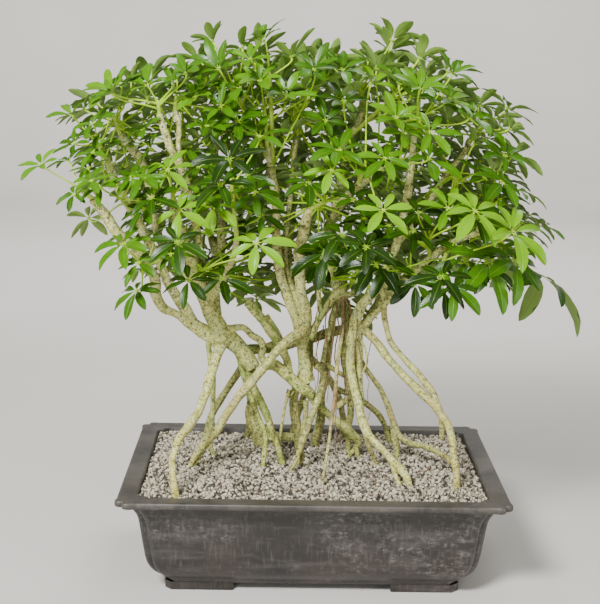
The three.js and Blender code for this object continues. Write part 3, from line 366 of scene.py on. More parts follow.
# Each limb is a list of points along its middle in millimetres: x, y, z, radius.
WOOD = {
    "left_trunk": [
        [[-113, 14, 275, 10], [-116, 15, 282, 11.3], [-123, 12, 303, 10], [-133, 10, 323, 9.4],
         [-140, 8, 342, 8.7], [-148, 5, 368, 8.1], [-155, 0, 390, 7.4], [-162, -5, 409, 6.8],
         [-169, -8, 431, 5.9], [-175, -10, 449, 4.9]],
        [[-114, 14, 290, 10], [-98, 14, 274, 9.4], [-85, 12, 260, 9.7], [-76, 8, 246, 9.3]],
        [[-111, 14, 292, 5.6], [-98, 10, 297, 4.4], [-88, 8, 297, 4], [-78, 8, 288, 4],
         [-68, 8, 282, 4.4], [-64, 7, 272, 4], [-66, 7, 261, 4.4], [-61, 8, 255, 5]],
        [[-132, 12, 331, 5.6], [-116, -8, 358, 4.9], [-103, -26, 386, 4.3], [-96, -38, 415, 3.6]],
    ],
    "left_back_trunk": [
        [[-124, 18, 312, 6.5], [-126, 30, 345, 6.3], [-121, 42, 374, 5.7], [-119, 52, 401, 5.4],
         [-121, 60, 432, 5.1], [-127, 63, 463, 4.8], [-129, 65, 494, 4.5], [-127, 68, 525, 3.9]],
        [[-121, 42, 374, 5], [-135, 73, 408, 4.8], [-152, 93, 452, 4.4], [-164, 108, 500, 3.6]],
    ],
    "left_upper_limbs": [
        [[-132, 11, 322, 6], [-138, 16, 338, 6.4], [-143, 22, 381, 5], [-147, 18, 415, 4.9],
         [-154, 2, 453, 4.9], [-164, -14, 496, 4.9], [-175, -22, 519, 4.9], [-184, -26, 544, 4.3],
         [-189, -28, 562, 3.7]],
        [[-164, -14, 496, 3.7], [-168, -12, 521, 3.4], [-167, -10, 550, 3.1], [-172, -10, 565, 2.8]],
        [[-138, 16, 334, 5.7], [-144, 24, 344, 5.7], [-157, 29, 357, 5.7], [-172, 30, 373, 5.4],
         [-189, 30, 391, 5.4], [-199, 28, 418, 5.4], [-204, 26, 447, 5.4], [-208, 24, 476, 5.3],
         [-215, 20, 501, 5.3], [-228, 16, 518, 5.3], [-240, 12, 534, 5]],
    ],
    "left_low_limbs": [
        [[-126, 15, 282, 7], [-138, 14, 289, 7.5], [-151, 6, 298, 5.6], [-169, -4, 314, 4.9],
         [-187, -14, 327, 6.1], [-195, -22, 344, 6.7], [-197, -30, 369, 6.4], [-210, -38, 389, 6.4],
         [-228, -46, 411, 6.3], [-240, -50, 427, 6.3], [-254, -54, 448, 6], [-265, -58, 464, 5.1]],
        [[-138, 15, 289, 7.5], [-150, 10, 301, 6.9], [-162, 4, 323, 6.5], [-173, -2, 339, 5.9],
         [-183, -4, 360, 5.8], [-197, -6, 391, 5.5], [-207, -10, 411, 5.5], [-215, -14, 430, 5.5],
         [-225, -18, 447, 5.2], [-235, -20, 465, 4.9], [-245, -20, 485, 4.6], [-254, -20, 507, 4.3]],
    ],
    "centre_trunk": [
        [[-8, 12, 228, 7.5], [-11, 12, 240, 8.7], [-13, 14, 256, 6.9], [-15, 14, 272, 6.6],
         [-14, 14, 290, 10], [-12, 10, 323, 6.5], [-18, 8, 346, 6.5], [-20, 6, 374, 6.8],
         [-20, 4, 400, 6.8], [-15, 2, 425, 6.8], [-9, 0, 448, 5.9]],
        [[-15, 14, 288, 6.9], [-27, 16, 318, 5.9], [-37, 18, 344, 6], [-45, 20, 372, 6],
         [-49, 22, 407, 5.7], [-50, 22, 444, 5.7], [-54, 20, 481, 5.3], [-61, 18, 521, 4.4]],
        [[-15, 14, 305, 3.8], [-25, 20, 339, 3.8], [-34, 28, 361, 3.8], [-39, 34, 386, 3.8],
         [-37, 40, 417, 3.5], [-33, 44, 454, 3.5], [-30, 46, 492, 3.2], [-26, 50, 529, 3.2]],
        [[-32, 26, 357, 4], [-33, 62, 392, 4.2], [-28, 84, 440, 4], [-26, 102, 496, 3.8],
         [-28, 111, 548, 3.2]],
    ],
    "cross_limb": [
        [[-60, 8, 252, 6.9], [-46, 6, 249, 7.2], [-32, 4, 237, 6.8], [-17, 4, 224, 6.8],
         [-5, 6, 215, 6.2], [5, 10, 201, 5.6], [18, 14, 187, 4.7], [35, 20, 171, 5.6],
         [50, 26, 157, 6.3], [59, 32, 145, 5.4], [57, 34, 135, 3.8], [47, 35, 121, 2.5],
         [42, 36, 100, 2]],
        [[-82, 0, 331, 5], [-63, 6, 305, 5.6], [-46, 12, 279, 5.6], [-34, 16, 255, 4.7],
         [-30, 8, 240, 5]],
        [[-61, 20, 310, 3.8], [-48, 22, 287, 5.7], [-37, 18, 266, 4.4], [-34, 14, 250, 3.8]],
        [[57, 34, 137, 3.6], [60, 32, 121, 2.6], [61, 32, 98, 2]],
    ],
    "right_trunk": [
        [[-6, 14, 282, 5], [0, 18, 296, 4.7], [11, 22, 315, 4.7], [23, 26, 331, 5.7],
         [31, 28, 341, 8.8], [28, 30, 353, 8.8], [21, 32, 371, 7.6], [16, 34, 393, 6.3],
         [14, 36, 413, 5.7], [23, 38, 441, 5.4], [30, 42, 470, 5.1], [34, 46, 503, 4.8],
         [37, 50, 527, 4.8], [51, 54, 548, 4.5], [57, 58, 567, 3.8]],
        [[17, 30, 368, 3.2], [6, 20, 347, 3.1], [6, 20, 325, 3.1], [10, 22, 310, 3.1]],
        [[22, 37, 438, 5.1], [36, 22, 460, 5], [49, 8, 476, 5], [64, -4, 490, 4.6],
         [80, -14, 504, 4.6]],
        [[32, 27, 336, 4.4], [44, 20, 339, 3.8], [55, 13, 347, 3.7], [66, 11, 356, 3.7]],
    ],
    "right_limbs": [
        [[50, 10, 286, 8], [52, 10, 293, 8.7], [51, 8, 308, 6.9], [56, 4, 324, 6.5],
         [67, 0, 340, 6.2], [79, -2, 355, 5.6], [89, -6, 386, 5.3], [100, -10, 414, 5.2],
         [106, -12, 445, 4.9], [110, -12, 475, 4.6], [114, -10, 511, 4.3], [115, -8, 540, 3.7]],
        [[53, 12, 292, 6.3], [66, 14, 306, 5.3], [76, 14, 319, 5], [86, 14, 331, 4.4],
         [85, 8, 342, 3.8], [80, 2, 354, 3.7]],
        [[101, -10, 414, 4.3], [123, 10, 433, 4.4], [141, 30, 458, 4.1], [157, 44, 480, 3.8],
         [167, 50, 494, 3.8], [182, 56, 511, 3.5], [192, 60, 529, 3.2]],
    ],
    "right_low_limb": [
        [[84, 12, 327, 4.7], [103, 4, 350, 4.7], [121, -6, 373, 4.6], [139, -14, 393, 4.3],
         [162, -20, 411, 4], [186, -24, 423, 3.7], [208, -26, 431, 3.7]],
    ],
    "right_back_limbs": [
        [[62, 16, 301, 5], [78, 40, 322, 5], [96, 63, 362, 4.8], [112, 79, 412, 4.5],
         [124, 95, 466, 4.1], [130, 106, 522, 3.4]],
        [[82, 46, 330, 4.4], [118, 65, 356, 4.2], [156, 77, 384, 4], [196, 86, 410, 3.4]],
    ],
    "aerial_root_left_front": [
        [[-115, 12, 290, 8], [-117, 12, 278, 8.7], [-121, 4, 263, 6.5], [-127, -8, 244, 5.9],
         [-133, -28, 223, 5.7], [-140, -50, 206, 5.4], [-150, -72, 194, 5.3], [-161, -95, 182, 4.7],
         [-167, -112, 167, 4], [-166, -124, 146, 4], [-162, -129, 121, 4.3], [-160, -130, 96, 3]],
    ],
    "aerial_root_left_back": [
        [[-132, 13, 294, 4.4], [-132, 16, 267, 3.4], [-127, 16, 228, 3.4], [-127, 18, 192, 3.1],
         [-129, 22, 163, 3.1], [-131, 25, 143, 3.1], [-126, 27, 121, 2.5], [-124, 28, 98, 2]],
    ],
    "aerial_root_long_front": [
        [[-14, 8, 297, 5], [-20, 0, 293, 5.6], [-38, -10, 281, 5.6], [-57, -18, 261, 5.8],
         [-72, -24, 241, 5.8], [-90, -26, 221, 5.4], [-103, -24, 201, 5.2], [-118, -20, 176, 5.2],
         [-132, -17, 157, 5.8], [-145, -15, 139, 4.3], [-155, -15, 121, 3.4], [-160, -15, 98, 2.4]],
        [[-133, -17, 155, 4.4], [-141, -12, 138, 3.4], [-149, -10, 121, 2.6], [-152, -9, 100, 2]],
    ],
    "aerial_roots_green": [
        [[-78, 10, 242, 6], [-80, 12, 234, 5.6], [-75, 8, 219, 5.4], [-64, 4, 199, 5.3],
         [-54, 0, 174, 4.6], [-45, -2, 150, 4], [-37, -2, 121, 3.7], [-33, -2, 96, 2.6]],
        [[-96, 20, 262, 3.8], [-89, 18, 237, 3.4], [-80, 13, 211, 3.4], [-71, 7, 189, 3.1],
         [-60, -2, 163, 3.1], [-60, -10, 147, 3.1], [-62, -15, 121, 3.1], [-62, -16, 98, 2.2]],
        [[-60, -3, 161, 2.6], [-54, -2, 157, 2.4], [-48, -2, 157, 2.6]],
    ],
    "aerial_roots_pale": [
        [[47, 8, 300, 5], [46, 4, 290, 5.6], [45, 0, 273, 5.3], [46, -6, 251, 5.2],
         [51, -14, 227, 5.5], [56, -24, 208, 5.5], [61, -32, 191, 5.8], [67, -40, 177, 5.4],
         [78, -50, 166, 4.8], [89, -60, 158, 4.5], [98, -68, 149, 5.1], [108, -74, 140, 5],
         [115, -79, 130, 4.4], [118, -85, 119, 2.9], [120, -88, 98, 2.2]],
        [[93, -64, 155, 3.8], [98, -70, 140, 3], [102, -74, 130, 2.7], [107, -78, 119, 2.4],
         [109, -79, 100, 2]],
        [[63, -34, 186, 3.4], [69, -20, 157, 3.1], [77, -8, 138, 2.8], [81, -1, 121, 2.8],
         [83, 1, 98, 2]],
        [[54, 12, 290, 5.6], [56, 10, 269, 5.6], [56, 6, 247, 5.6], [58, 0, 226, 4.4],
         [60, -8, 211, 4], [59, -20, 200, 3.4]],
        [[58, 8, 284, 1.6], [63, -4, 276, 1.4], [66, -8, 261, 1.4], [62, -8, 248, 1.3],
         [56, -6, 236, 1.3]],
    ],
    "aerial_roots_right_outer": [
        [[57, 10, 300, 5], [72, 2, 289, 5], [86, -6, 272, 5.1], [97, -14, 260, 5],
         [109, -22, 248, 4.9], [121, -31, 237, 4.9], [135, -40, 227, 4.8], [147, -50, 216, 4.9],
         [155, -57, 206, 4.9], [163, -64, 196, 4.8], [168, -70, 179, 4.5], [169, -75, 161, 4.4],
         [173, -79, 144, 4.8], [174, -83, 121, 5], [174, -84, 96, 3.4]],
        [[86, 14, 326, 3.8], [88, 8, 310, 3.5], [93, -2, 290, 3.6], [101, -10, 277, 3.7],
         [114, -18, 264, 3.8], [127, -28, 252, 4], [136, -36, 242, 4.2], [144, -44, 232, 4.2],
         [150, -50, 221, 4.2], [154, -54, 210, 3.6]],
        [[156, -57, 206, 3.6], [157, -52, 188, 3.3], [158, -48, 174, 3]],
    ],
    "aerial_roots_right_inner": [
        [[54, 18, 276, 3.4], [56, 24, 262, 3.1], [64, 26, 247, 3.1], [75, 28, 231, 3.2],
         [86, 30, 215, 3.3], [95, 32, 197, 3.5], [101, 32, 180, 3.8], [107, 31, 163, 4.1],
         [114, 28, 152, 4.1], [126, 16, 148, 4.1], [142, -2, 149, 3.7], [155, -24, 150, 3.7],
         [164, -48, 150, 3.3], [168, -66, 149, 3]],
        [[105, 32, 168, 3.8], [106, 32, 152, 4.4], [109, 31, 138, 3.8], [109, 29, 119, 3.8],
         [109, 28, 96, 2.6]],
    ],
    "aerial_root_red": [
        [[36, 24, 338, 3], [36, 10, 311, 2.5], [33, -4, 286, 2.5], [29, -18, 264, 2.5],
         [27, -32, 242, 2.4], [25, -44, 220, 2.3], [22, -56, 198, 2], [18, -68, 170, 2],
         [14, -77, 143, 1.9], [11, -82, 121, 1.6], [10, -84, 102, 1.4]],
    ],
    "aerial_roots_centre": [
        [[4, 26, 246, 3.8], [12, 22, 238, 3.8], [11, 12, 223, 4.4], [7, 0, 211, 4.7],
         [2, -8, 198, 4.3], [-4, -14, 185, 4], [-10, -20, 168, 4.3], [-15, -26, 155, 4.6],
         [-19, -28, 141, 3], [-27, -30, 122, 2.4], [-30, -31, 102, 1.9]],
        [[-9, 16, 202, 3.1], [-9, 8, 186, 3.1], [-12, -6, 170, 3.1], [-15, -24, 156, 3.7],
         [-13, -16, 136, 3.1], [-19, -6, 121, 2.5], [-21, -4, 100, 2]],
    ],
    "right_root_bundle": [
        [[31, 28, 334, 5], [25, 26, 310, 3.8], [20, 26, 290, 4.1], [15, 26, 270, 3.5],
         [12, 26, 251, 3.5]],
        [[34, 30, 330, 4], [44, 34, 317, 3.2], [41, 34, 291, 3.8], [39, 36, 264, 3.8],
         [42, 40, 234, 3.5], [48, 40, 203, 4], [50, 46, 180, 4.8], [48, 52, 160, 4.5],
         [48, 56, 132, 3.4], [48, 57, 102, 2.4]],
        [[29, 32, 326, 4], [24, 44, 304, 4.5], [21, 46, 275, 5.1], [19, 48, 248, 4.5],
         [17, 50, 221, 4.2], [12, 52, 197, 4.8], [12, 62, 170, 5.8], [9, 70, 148, 5.8],
         [4, 80, 121, 5.2], [2, 82, 98, 3]],
        [[11, 27, 252, 3.2], [20, 31, 244, 3.2], [30, 35, 237, 3.2], [42, 39, 228, 3]],
        [[30, 36, 189, 3.8], [39, 38, 194, 4.1], [48, 40, 200, 4.2]],
    ],
    "left_root_base": [
        [[-20, 12, 226, 5], [-22, 30, 215, 5], [-24, 40, 194, 5.7], [-21, 46, 168, 6.4],
         [-18, 52, 145, 5.8], [-17, 55, 122, 4.4], [-17, 56, 100, 3]],
        [[-78, 70, 182, 5.8], [-80, 74, 167, 7.1], [-73, 78, 147, 10.4], [-66, 80, 131, 9.7],
         [-64, 80, 104, 7]],
        [[-72, 78, 146, 7], [-46, 66, 140, 5.6], [-21, 54, 142, 5.4]],
        [[-30, 24, 214, 2.4], [-35, 18, 195, 2], [-38, 14, 177, 1.9], [-41, 8, 157, 1.9],
         [-43, 6, 122, 1.8], [-43, 6, 104, 1.5]],
        [[-25, 30, 212, 2.6], [-30, 24, 206, 2.4], [-32, 20, 212, 2.4]],
    ],
    "back_roots": [
        [[-95, 24, 266, 6], [-70, 42, 262, 6.4], [-30, 52, 268, 6.8], [16, 56, 280, 6.4],
         [44, 42, 292, 6], [50, 20, 296, 5.4]],
        [[-78, 40, 262, 5.4], [-92, 66, 232, 5], [-112, 88, 196, 4.8], [-132, 104, 158, 4.6],
         [-142, 110, 121, 4.2], [-145, 111, 98, 2.8]],
        [[-88, 60, 238, 4], [-84, 88, 206, 4], [-82, 108, 166, 3.8], [-86, 118, 122, 3.6],
         [-87, 119, 98, 2.4]],
        [[-6, 54, 274, 5.4], [-4, 76, 238, 5], [-8, 98, 196, 4.6], [-18, 112, 156, 4.4],
         [-26, 118, 121, 4.2], [-28, 119, 98, 2.8]],
        [[-5, 70, 246, 4.6], [22, 88, 214, 4.4], [40, 104, 170, 4.2], [46, 112, 121, 4],
         [47, 113, 98, 2.6]],
        [[28, 94, 200, 3.8], [62, 96, 184, 3.8], [92, 104, 158, 3.8], [106, 108, 121, 3.6],
         [109, 109, 98, 2.4]],
    ],
}

# How green, how pink, how golden and how brown the skin of each stem or root is, from 0 to 1. The
# brown of the back roots is partly painted shade, as they stand in shade behind the others.
SKIN = {
    "left_trunk": (0.35, 0.1, 0.1, 0.1), "left_back_trunk": (0.4, 0, 0, 0.3),
    "left_upper_limbs": (0.2, 0, 0, 0.1), "left_low_limbs": (0.15, 0, 0.1, 0),
    "centre_trunk": (0.25, 0.15, 0, 0.15), "cross_limb": (0.6, 0, 0.1, 0.1),
    "right_trunk": (0.4, 0, 0, 0.15), "right_limbs": (0.2, 0, 0.05, 0.1),
    "right_low_limb": (0.3, 0, 0.1, 0), "right_back_limbs": (0.4, 0, 0, 0.2),
    "aerial_root_left_front": (0.2, 0, 0.55, 0), "aerial_root_left_back": (0.55, 0, 0, 0.2),
    "aerial_root_long_front": (0.3, 0.3, 0.1, 0), "aerial_roots_green": (0.9, 0, 0.1, 0),
    "aerial_roots_pale": (0.2, 0, 0.25, 0), "aerial_roots_right_outer": (0.35, 0.3, 0.4, 0),
    "aerial_roots_right_inner": (0.45, 0.35, 0, 0.35), "aerial_root_red": (0, 0.9, 0, 0.35),
    "aerial_roots_centre": (0.5, 0.1, 0.1, 0.6), "right_root_bundle": (0.6, 0, 0, 0.6),
    "left_root_base": (0.5, 0, 0.1, 0.45), "back_roots": (0.5, 0, 0.1, 0.5),
}


def follow(points, step):
    """Points about step apart on the smooth curve through the given ones (any number of columns):
    p(u) = (2b + (c - a)u + (2a - 5b + 4c - d)u^2 + (3b - a - 3c + d)u^3) / 2 from b to c."""
    p = np.asarray(points, float)
    p = np.concatenate([[2 * p[0] - p[1]], p, [2 * p[-1] - p[-2]]])
    out = []
    for a, b, c, d in zip(p[:-3], p[1:-2], p[2:-1], p[3:]):
        u = np.linspace(0, 1, max(2, int(np.linalg.norm((c - b)[:3]) / step) + 1), endpoint=False)[:, None]
        bend = (2 * a - 5 * b + 4 * c - d) * u ** 2 + (3 * b - a - 3 * c + d) * u ** 3
        out.append((2 * b + (c - a) * u + bend) / 2)
    return np.concatenate(out + [p[-2:-1]])


def frames(path):
    """Unit vectors along the path and two across it, carried along with the least twist."""
    along = np.gradient(path, axis=0)
    along /= np.linalg.norm(along, axis=1)[:, None]
    across = np.cross(along[0], (0.3, 1, 0.2))
    first = []
    for t in along:
        across = across - t * across.dot(t)
        across /= np.linalg.norm(across)
        first.append(across)
    first = np.array(first)
    return along, first, np.cross(along, first)


def tube(path, radius, sides):
    """Rings of sides points round a path. radius is one number per ring, or one per point."""
    along, u, v = frames(path)
    turn = np.arange(sides) / sides * 2 * math.pi
    radius = np.broadcast_to(np.asarray(radius, float).reshape(len(path), -1), (len(path), sides))
    spokes = np.cos(turn)[None, :, None] * u[:, None] + np.sin(turn)[None, :, None] * v[:, None]
    return path[:, None] + spokes * radius[..., None], along


def limb(points, skin, rng):
    """A stem or root. radius(s, a) = r(s) (1 + lumps + flutes + ring scars), with s along it and a
    round it. A scar is raised most on one side. It is wider at its foot and ends in a low dome."""
    curve = follow(points, 2.6)
    path, r = curve[:, :3], np.maximum(curve[:, 3], 0.9)
    s = np.concatenate([[0], np.cumsum(np.linalg.norm(np.diff(path, axis=0), axis=1))])
    sway = [np.sin(s / 9 + k) + np.sin(s / 5.3 + 2 * k) for k in rng.random(3) * 6]
    path = path + 0.05 * r[:, None] * np.column_stack(sway)
    sides = 20 if r.max() > 7 else 14 if r.max() > 3.5 else 10
    a = np.arange(sides) / sides * 2 * math.pi
    p = rng.random(6) * 6.28
    wave = 0.05 * np.sin(s / 13 + p[0]) + 0.035 * np.sin(s / 5.5 + p[1])
    flute = 0.05 * np.cos(2 * a + p[2])[None] * np.sin(s / 31 + p[3])[:, None]
    flute = flute + 0.03 * np.cos(3 * a + p[4])[None]
    scars = np.zeros((len(s), sides))
    at = rng.uniform(3, 12)
    while at < s[-1]:
        face = rng.uniform(0, 6.28)
        reach = np.clip(0.35 + 0.65 * np.cos(a - face), 0.12, 1)
        scars += np.exp(-((s - at) / 1.5) ** 2)[:, None] * reach[None] * rng.uniform(0.03, 0.085)
        at += rng.uniform(6, 19)
    flare = 0.3 * np.exp(-s / (1.6 * r[0]))
    shape = 1 + wave[:, None] + flute + scars + flare[:, None]
    rings, along = tube(path, r[:, None] * shape, sides)
    dome = [(0.93, 0.12), (0.7, 0.26), (0.02, 0.32)]
    cap = [path[-1] + along[-1] * r[-1] * lift + (rings[-1] - path[-1]) * share for share, lift in dome]
    rings = np.concatenate([rings, cap])
    s = np.concatenate([s, s[-1] + np.arange(1, 4) * 0.3])
    r = np.concatenate([r, np.full(3, r[-1])])
    count = len(rings) * sides
    turn = np.broadcast_to(a, (len(rings), sides))
    # The bark's pattern lies on the limb as on a straight round bar, at a random place along it.
    grain = np.stack([np.cos(turn) * r[:, None], np.sin(turn) * r[:, None],
                      np.broadcast_to(s[:, None], turn.shape) + rng.uniform(0, 500)], axis=-1) / 1000
    z = rings[..., 2]
    green, pink, gold, brown = skin
    # Algae grow most in the shade of the forks, 285 mm up and near the middle.
    shade = np.exp(-((z - 285) / 70) ** 2) * 0.3 * np.clip(1 - np.abs(rings[..., 0]) / 190, 0, 1)
    values = {
        "grain": grain.reshape(-1, 3),
        "green": np.clip(green + shade, 0, 1).reshape(-1),
        "pink": (pink * (0.6 + 0.4 * np.sin(s / 21 + p[5]))[:, None] + np.zeros_like(z)).reshape(-1),
        "gold": (gold * np.clip((230 - z) / 90, 0, 1)).reshape(-1),
        "brown": (brown + 0 * z).reshape(-1),
        "scar": np.concatenate([scars, np.zeros((3, sides))]).reshape(-1) * 12,
        "end": np.repeat(np.concatenate([np.zeros(len(s) - 3), [0.3, 1, 1]]), sides),
    }
    return {"points": rings.reshape(count, 3), "quads": grid_faces(len(rings), sides), "values": values}


# Smooth thin bark, half matt. It is drawn along each limb: blotches of 14 mm, level rings and fine
# upright cracks of 2 to 3 mm, flecks of 5 mm and specks of 2.4 mm, which are the cork pores drawn
# coarser than they are. Green, pink, gold and brown come from the tables of each limb; the brown
# patches on the back roots are partly painted shade.
bark, tree, shader = material("pale_schefflera_bark")
grain = add(tree, "Attribute", {}, "Vector", attribute_name="grain")
level = add(tree, "VectorMath", {0: grain, 1: (0.25, 0.25, 1.6)}, **TIMES)
upright = add(tree, "VectorMath", {0: grain, 1: (1.2, 1.2, 0.3)}, **TIMES)
blotch = add(tree, "TexNoise", {"Vector": grain, "Scale": 70, "Detail": 4, "Roughness": 0.6})
specks = add(tree, "TexNoise", {"Vector": grain, "Scale": 420, "Detail": 4, "Roughness": 0.72})
rings = add(tree, "TexNoise", {"Vector": level, "Scale": 260, "Detail": 3, "Roughness": 0.6})
cracks = add(tree, "TexNoise", {"Vector": upright, "Scale": 380, "Detail": 3, "Roughness": 0.65})
flecks = add(tree, "TexNoise", {"Vector": grain, "Scale": 190, "Detail": 5, "Roughness": 0.78})
green, pink, gold, brown, scar, end = (add(tree, "Attribute", {}, "Fac", attribute_name=name)
                                       for name in ("green", "pink", "gold", "brown", "scar", "end"))
ringed = add(tree, "MapRange", {"Value": rings, "From Min": 0.52, "From Max": 0.64, "To Max": 0.35},
             **SMOOTH)
cracked = add(tree, "MapRange", {"Value": cracks, "From Min": 0.57, "From Max": 0.7, "To Max": 0.45},
              **SMOOTH)
shaded = add(tree, "MapRange", {"Value": blotch, "From Min": 0.4, "From Max": 0.58, "To Max": 1.5},
             **SMOOTH)
mossy = add(tree, "Math", {0: green, 1: shaded}, use_clamp=True, **TIMES)
mossy = add(tree, "Math", {0: mossy, 1: 0.85}, **TIMES)
flushed = add(tree, "Math", {0: pink, 1: 0.9}, **TIMES)
golden = add(tree, "Math", {0: gold, 1: 0.8}, **TIMES)
# Brown patches: the skin's own brown, and on the back roots partly painted shade.
brown_patches = add(tree, "MapRange", {"Value": flecks, "From Min": 0.36, "From Max": 0.58, "To Max": 0.9},
            **SMOOTH)
brown_and_painted_shade = add(tree, "Math", {0: brown, 1: brown_patches}, **TIMES)
flecked = add(tree, "MapRange", {"Value": flecks, "From Min": 0.52, "From Max": 0.6, "To Max": 0.68},
              **SMOOTH)
specked = add(tree, "MapRange", {"Value": specks, "From Min": 0.54, "From Max": 0.6, "To Max": 0.92},
              **SMOOTH)
scarred = add(tree, "Math", {0: scar, 1: 0.45}, use_clamp=True, **TIMES)
rotten = add(tree, "MapRange", {"Value": specks, "From Min": 0.7, "From Max": 0.35}, **SMOOTH)
broken = add(tree, "Math", {0: end, 1: rotten}, **TIMES)
base = add(tree, "ValToRGB", {0: blotch}, stops=[(0.3, "#a4a94c"), (0.5, "#e2e18a"), (0.7, "#fdfac8")])
for share, text in ((ringed, "#6b6636"), (cracked, "#f6f2d2"), (mossy, "#7a9229"), (flushed, "#9a6649"),
                    (golden, "#cdb45c"), (brown_and_painted_shade, "#55482a"), (flecked, "#5b5a2b"), (specked, "#2b2b14"),
                    (scarred, "#67612f"), (broken, "#7a6440")):
    base = add(tree, "Mix", {0: share, 6: base, 7: text}, **BLEND)
rise = add(tree, "Math", {0: specks, 1: 0.6, 2: rings}, operation="MULTIPLY_ADD")
bump = add(tree, "Bump", {"Height": rise, "Distance": 0.0007, "Strength": 1.0})
tree.links.new(base, shader.inputs["Base Color"])
tree.links.new(bump, shader.inputs["Normal"])
shader.inputs["Roughness"].default_value = 0.72
for index, (name, limbs) in enumerate(WOOD.items()):
    rng = np.random.default_rng(100 + index)
    piece(name + "_wood", [limb(points, SKIN[name], rng) for points in limbs], bark, [name])

# Fine roots. Brown roots 1 to 2 mm thick, dry and fibrous, that have grown out of the forks of the
# right and centre stems and hang there in a tangle; their lower ends are free.

# Each is a line of points along its middle and the radius that it starts with.
HAIR_ROOTS = [
    ([(29, 6, 335), (26, -6, 305), (23, -12, 275), (20, -16, 240), (18, -18, 210)], 0.9),
    ([(34, 8, 332), (35, 0, 308), (32, -6, 280), (30, -10, 252), (29, -12, 221), (26, -16, 197)], 1.1),
    ([(39, 10, 337), (42, 4, 312), (41, 0, 285), (37, -4, 261), (40, -8, 231), (37, -10, 211)], 0.8),
    ([(21, 4, 320), (17, -4, 299), (15, -8, 271), (10, -10, 246)], 0.7),
    ([(44, 10, 334), (47, 6, 310), (47, 0, 279), (45, -4, 245), (46, -6, 212)], 0.8),
    ([(19, 8, 334), (13, 2, 312), (14, -4, 291), (20, -8, 266), (15, -10, 236), (11, -14, 211)], 0.9),
    ([(26, 20, 330), (31, 14, 300), (27, 10, 262), (30, 6, 226), (28, 2, 180), (30, -2, 140),
      (31, -4, 118)], 1.0),
    ([(12, 18, 300), (4, 10, 270), (8, 4, 238), (2, 0, 205), (6, -6, 176)], 0.8),
    ([(35, -10, 245), (40, -14, 235), (43, -12, 222), (44, -10, 213)], 0.9),
    ([(54, 0, 288), (58, -6, 274), (61, -6, 259), (59, -4, 236)], 0.9),
    ([(5, 18, 322), (1, 6, 304), (4, -2, 280), (-1, -6, 252), (3, -10, 226)], 0.8),
    ([(36, 16, 324), (38, 6, 296), (34, -2, 262), (39, -6, 222), (35, -10, 176), (37, -8, 140)], 1.0),
    ([(54, 2, 322), (52, -5, 300), (50, -6, 268), (53, -6, 232), (50, -6, 198)], 0.9),
    ([(-12, 8, 250), (-19, 2, 232), (-17, -2, 208), (-22, -4, 180), (-20, -6, 160)], 0.8),
    ([(62, -8, 249), (67, -13, 236), (65, -16, 218), (70, -16, 200), (68, -14, 184)], 0.7),
    ([(12, 24, 253), (13, 16, 232), (8, 10, 204), (11, 6, 172), (9, 4, 136)], 0.9),
    ([(-58, 0, 188), (-52, -6, 178), (-50, -9, 160), (-54, -11, 142)], 0.7),
    ([(72, -1, 286), (69, -8, 276), (66, -10, 258), (68, -12, 243)], 0.7),
]
# Dry brown root fibre, matt, mottled every 3 mm.
fibre, tree, shader = material("brown_fine_root")
where = add(tree, "TexCoord", {}, "Object")
speck = add(tree, "TexNoise", {"Vector": where, "Scale": 300, "Detail": 3, "Roughness": 0.6})
base = add(tree, "ValToRGB", {0: speck}, stops=[(0.3, "#4d3d26"), (0.55, "#7a6440"), (0.75, "#a08a5c")])
tree.links.new(base, shader.inputs["Base Color"])
shader.inputs["Roughness"].default_value = 0.85
rng = np.random.default_rng(31)
hairs = []
for points, radius in HAIR_ROOTS:
    path = follow(points, 4)
    sway = np.cumsum(rng.normal(0, 0.35, path.shape), axis=0)
    path += sway - np.linspace(0, 1, len(path))[:, None] * sway[-1] * 0.5
    rings, _ = tube(path, radius * np.linspace(1, 0.45, len(path)), 6)
    hairs.append({"points": rings.reshape(-1, 3), "quads": grid_faces(len(path), 6)})
piece("hair_roots", hairs, fibre)

# Leafy shoots. At each branch end stands a soft green stem with stalked leaves. A leaf is six or
# seven leathery leaflets that hang like an umbrella from the end of its stalk; the lowest leaves of
# a shoot spread widest, and turn about the stem by the golden angle from one leaf to the next.

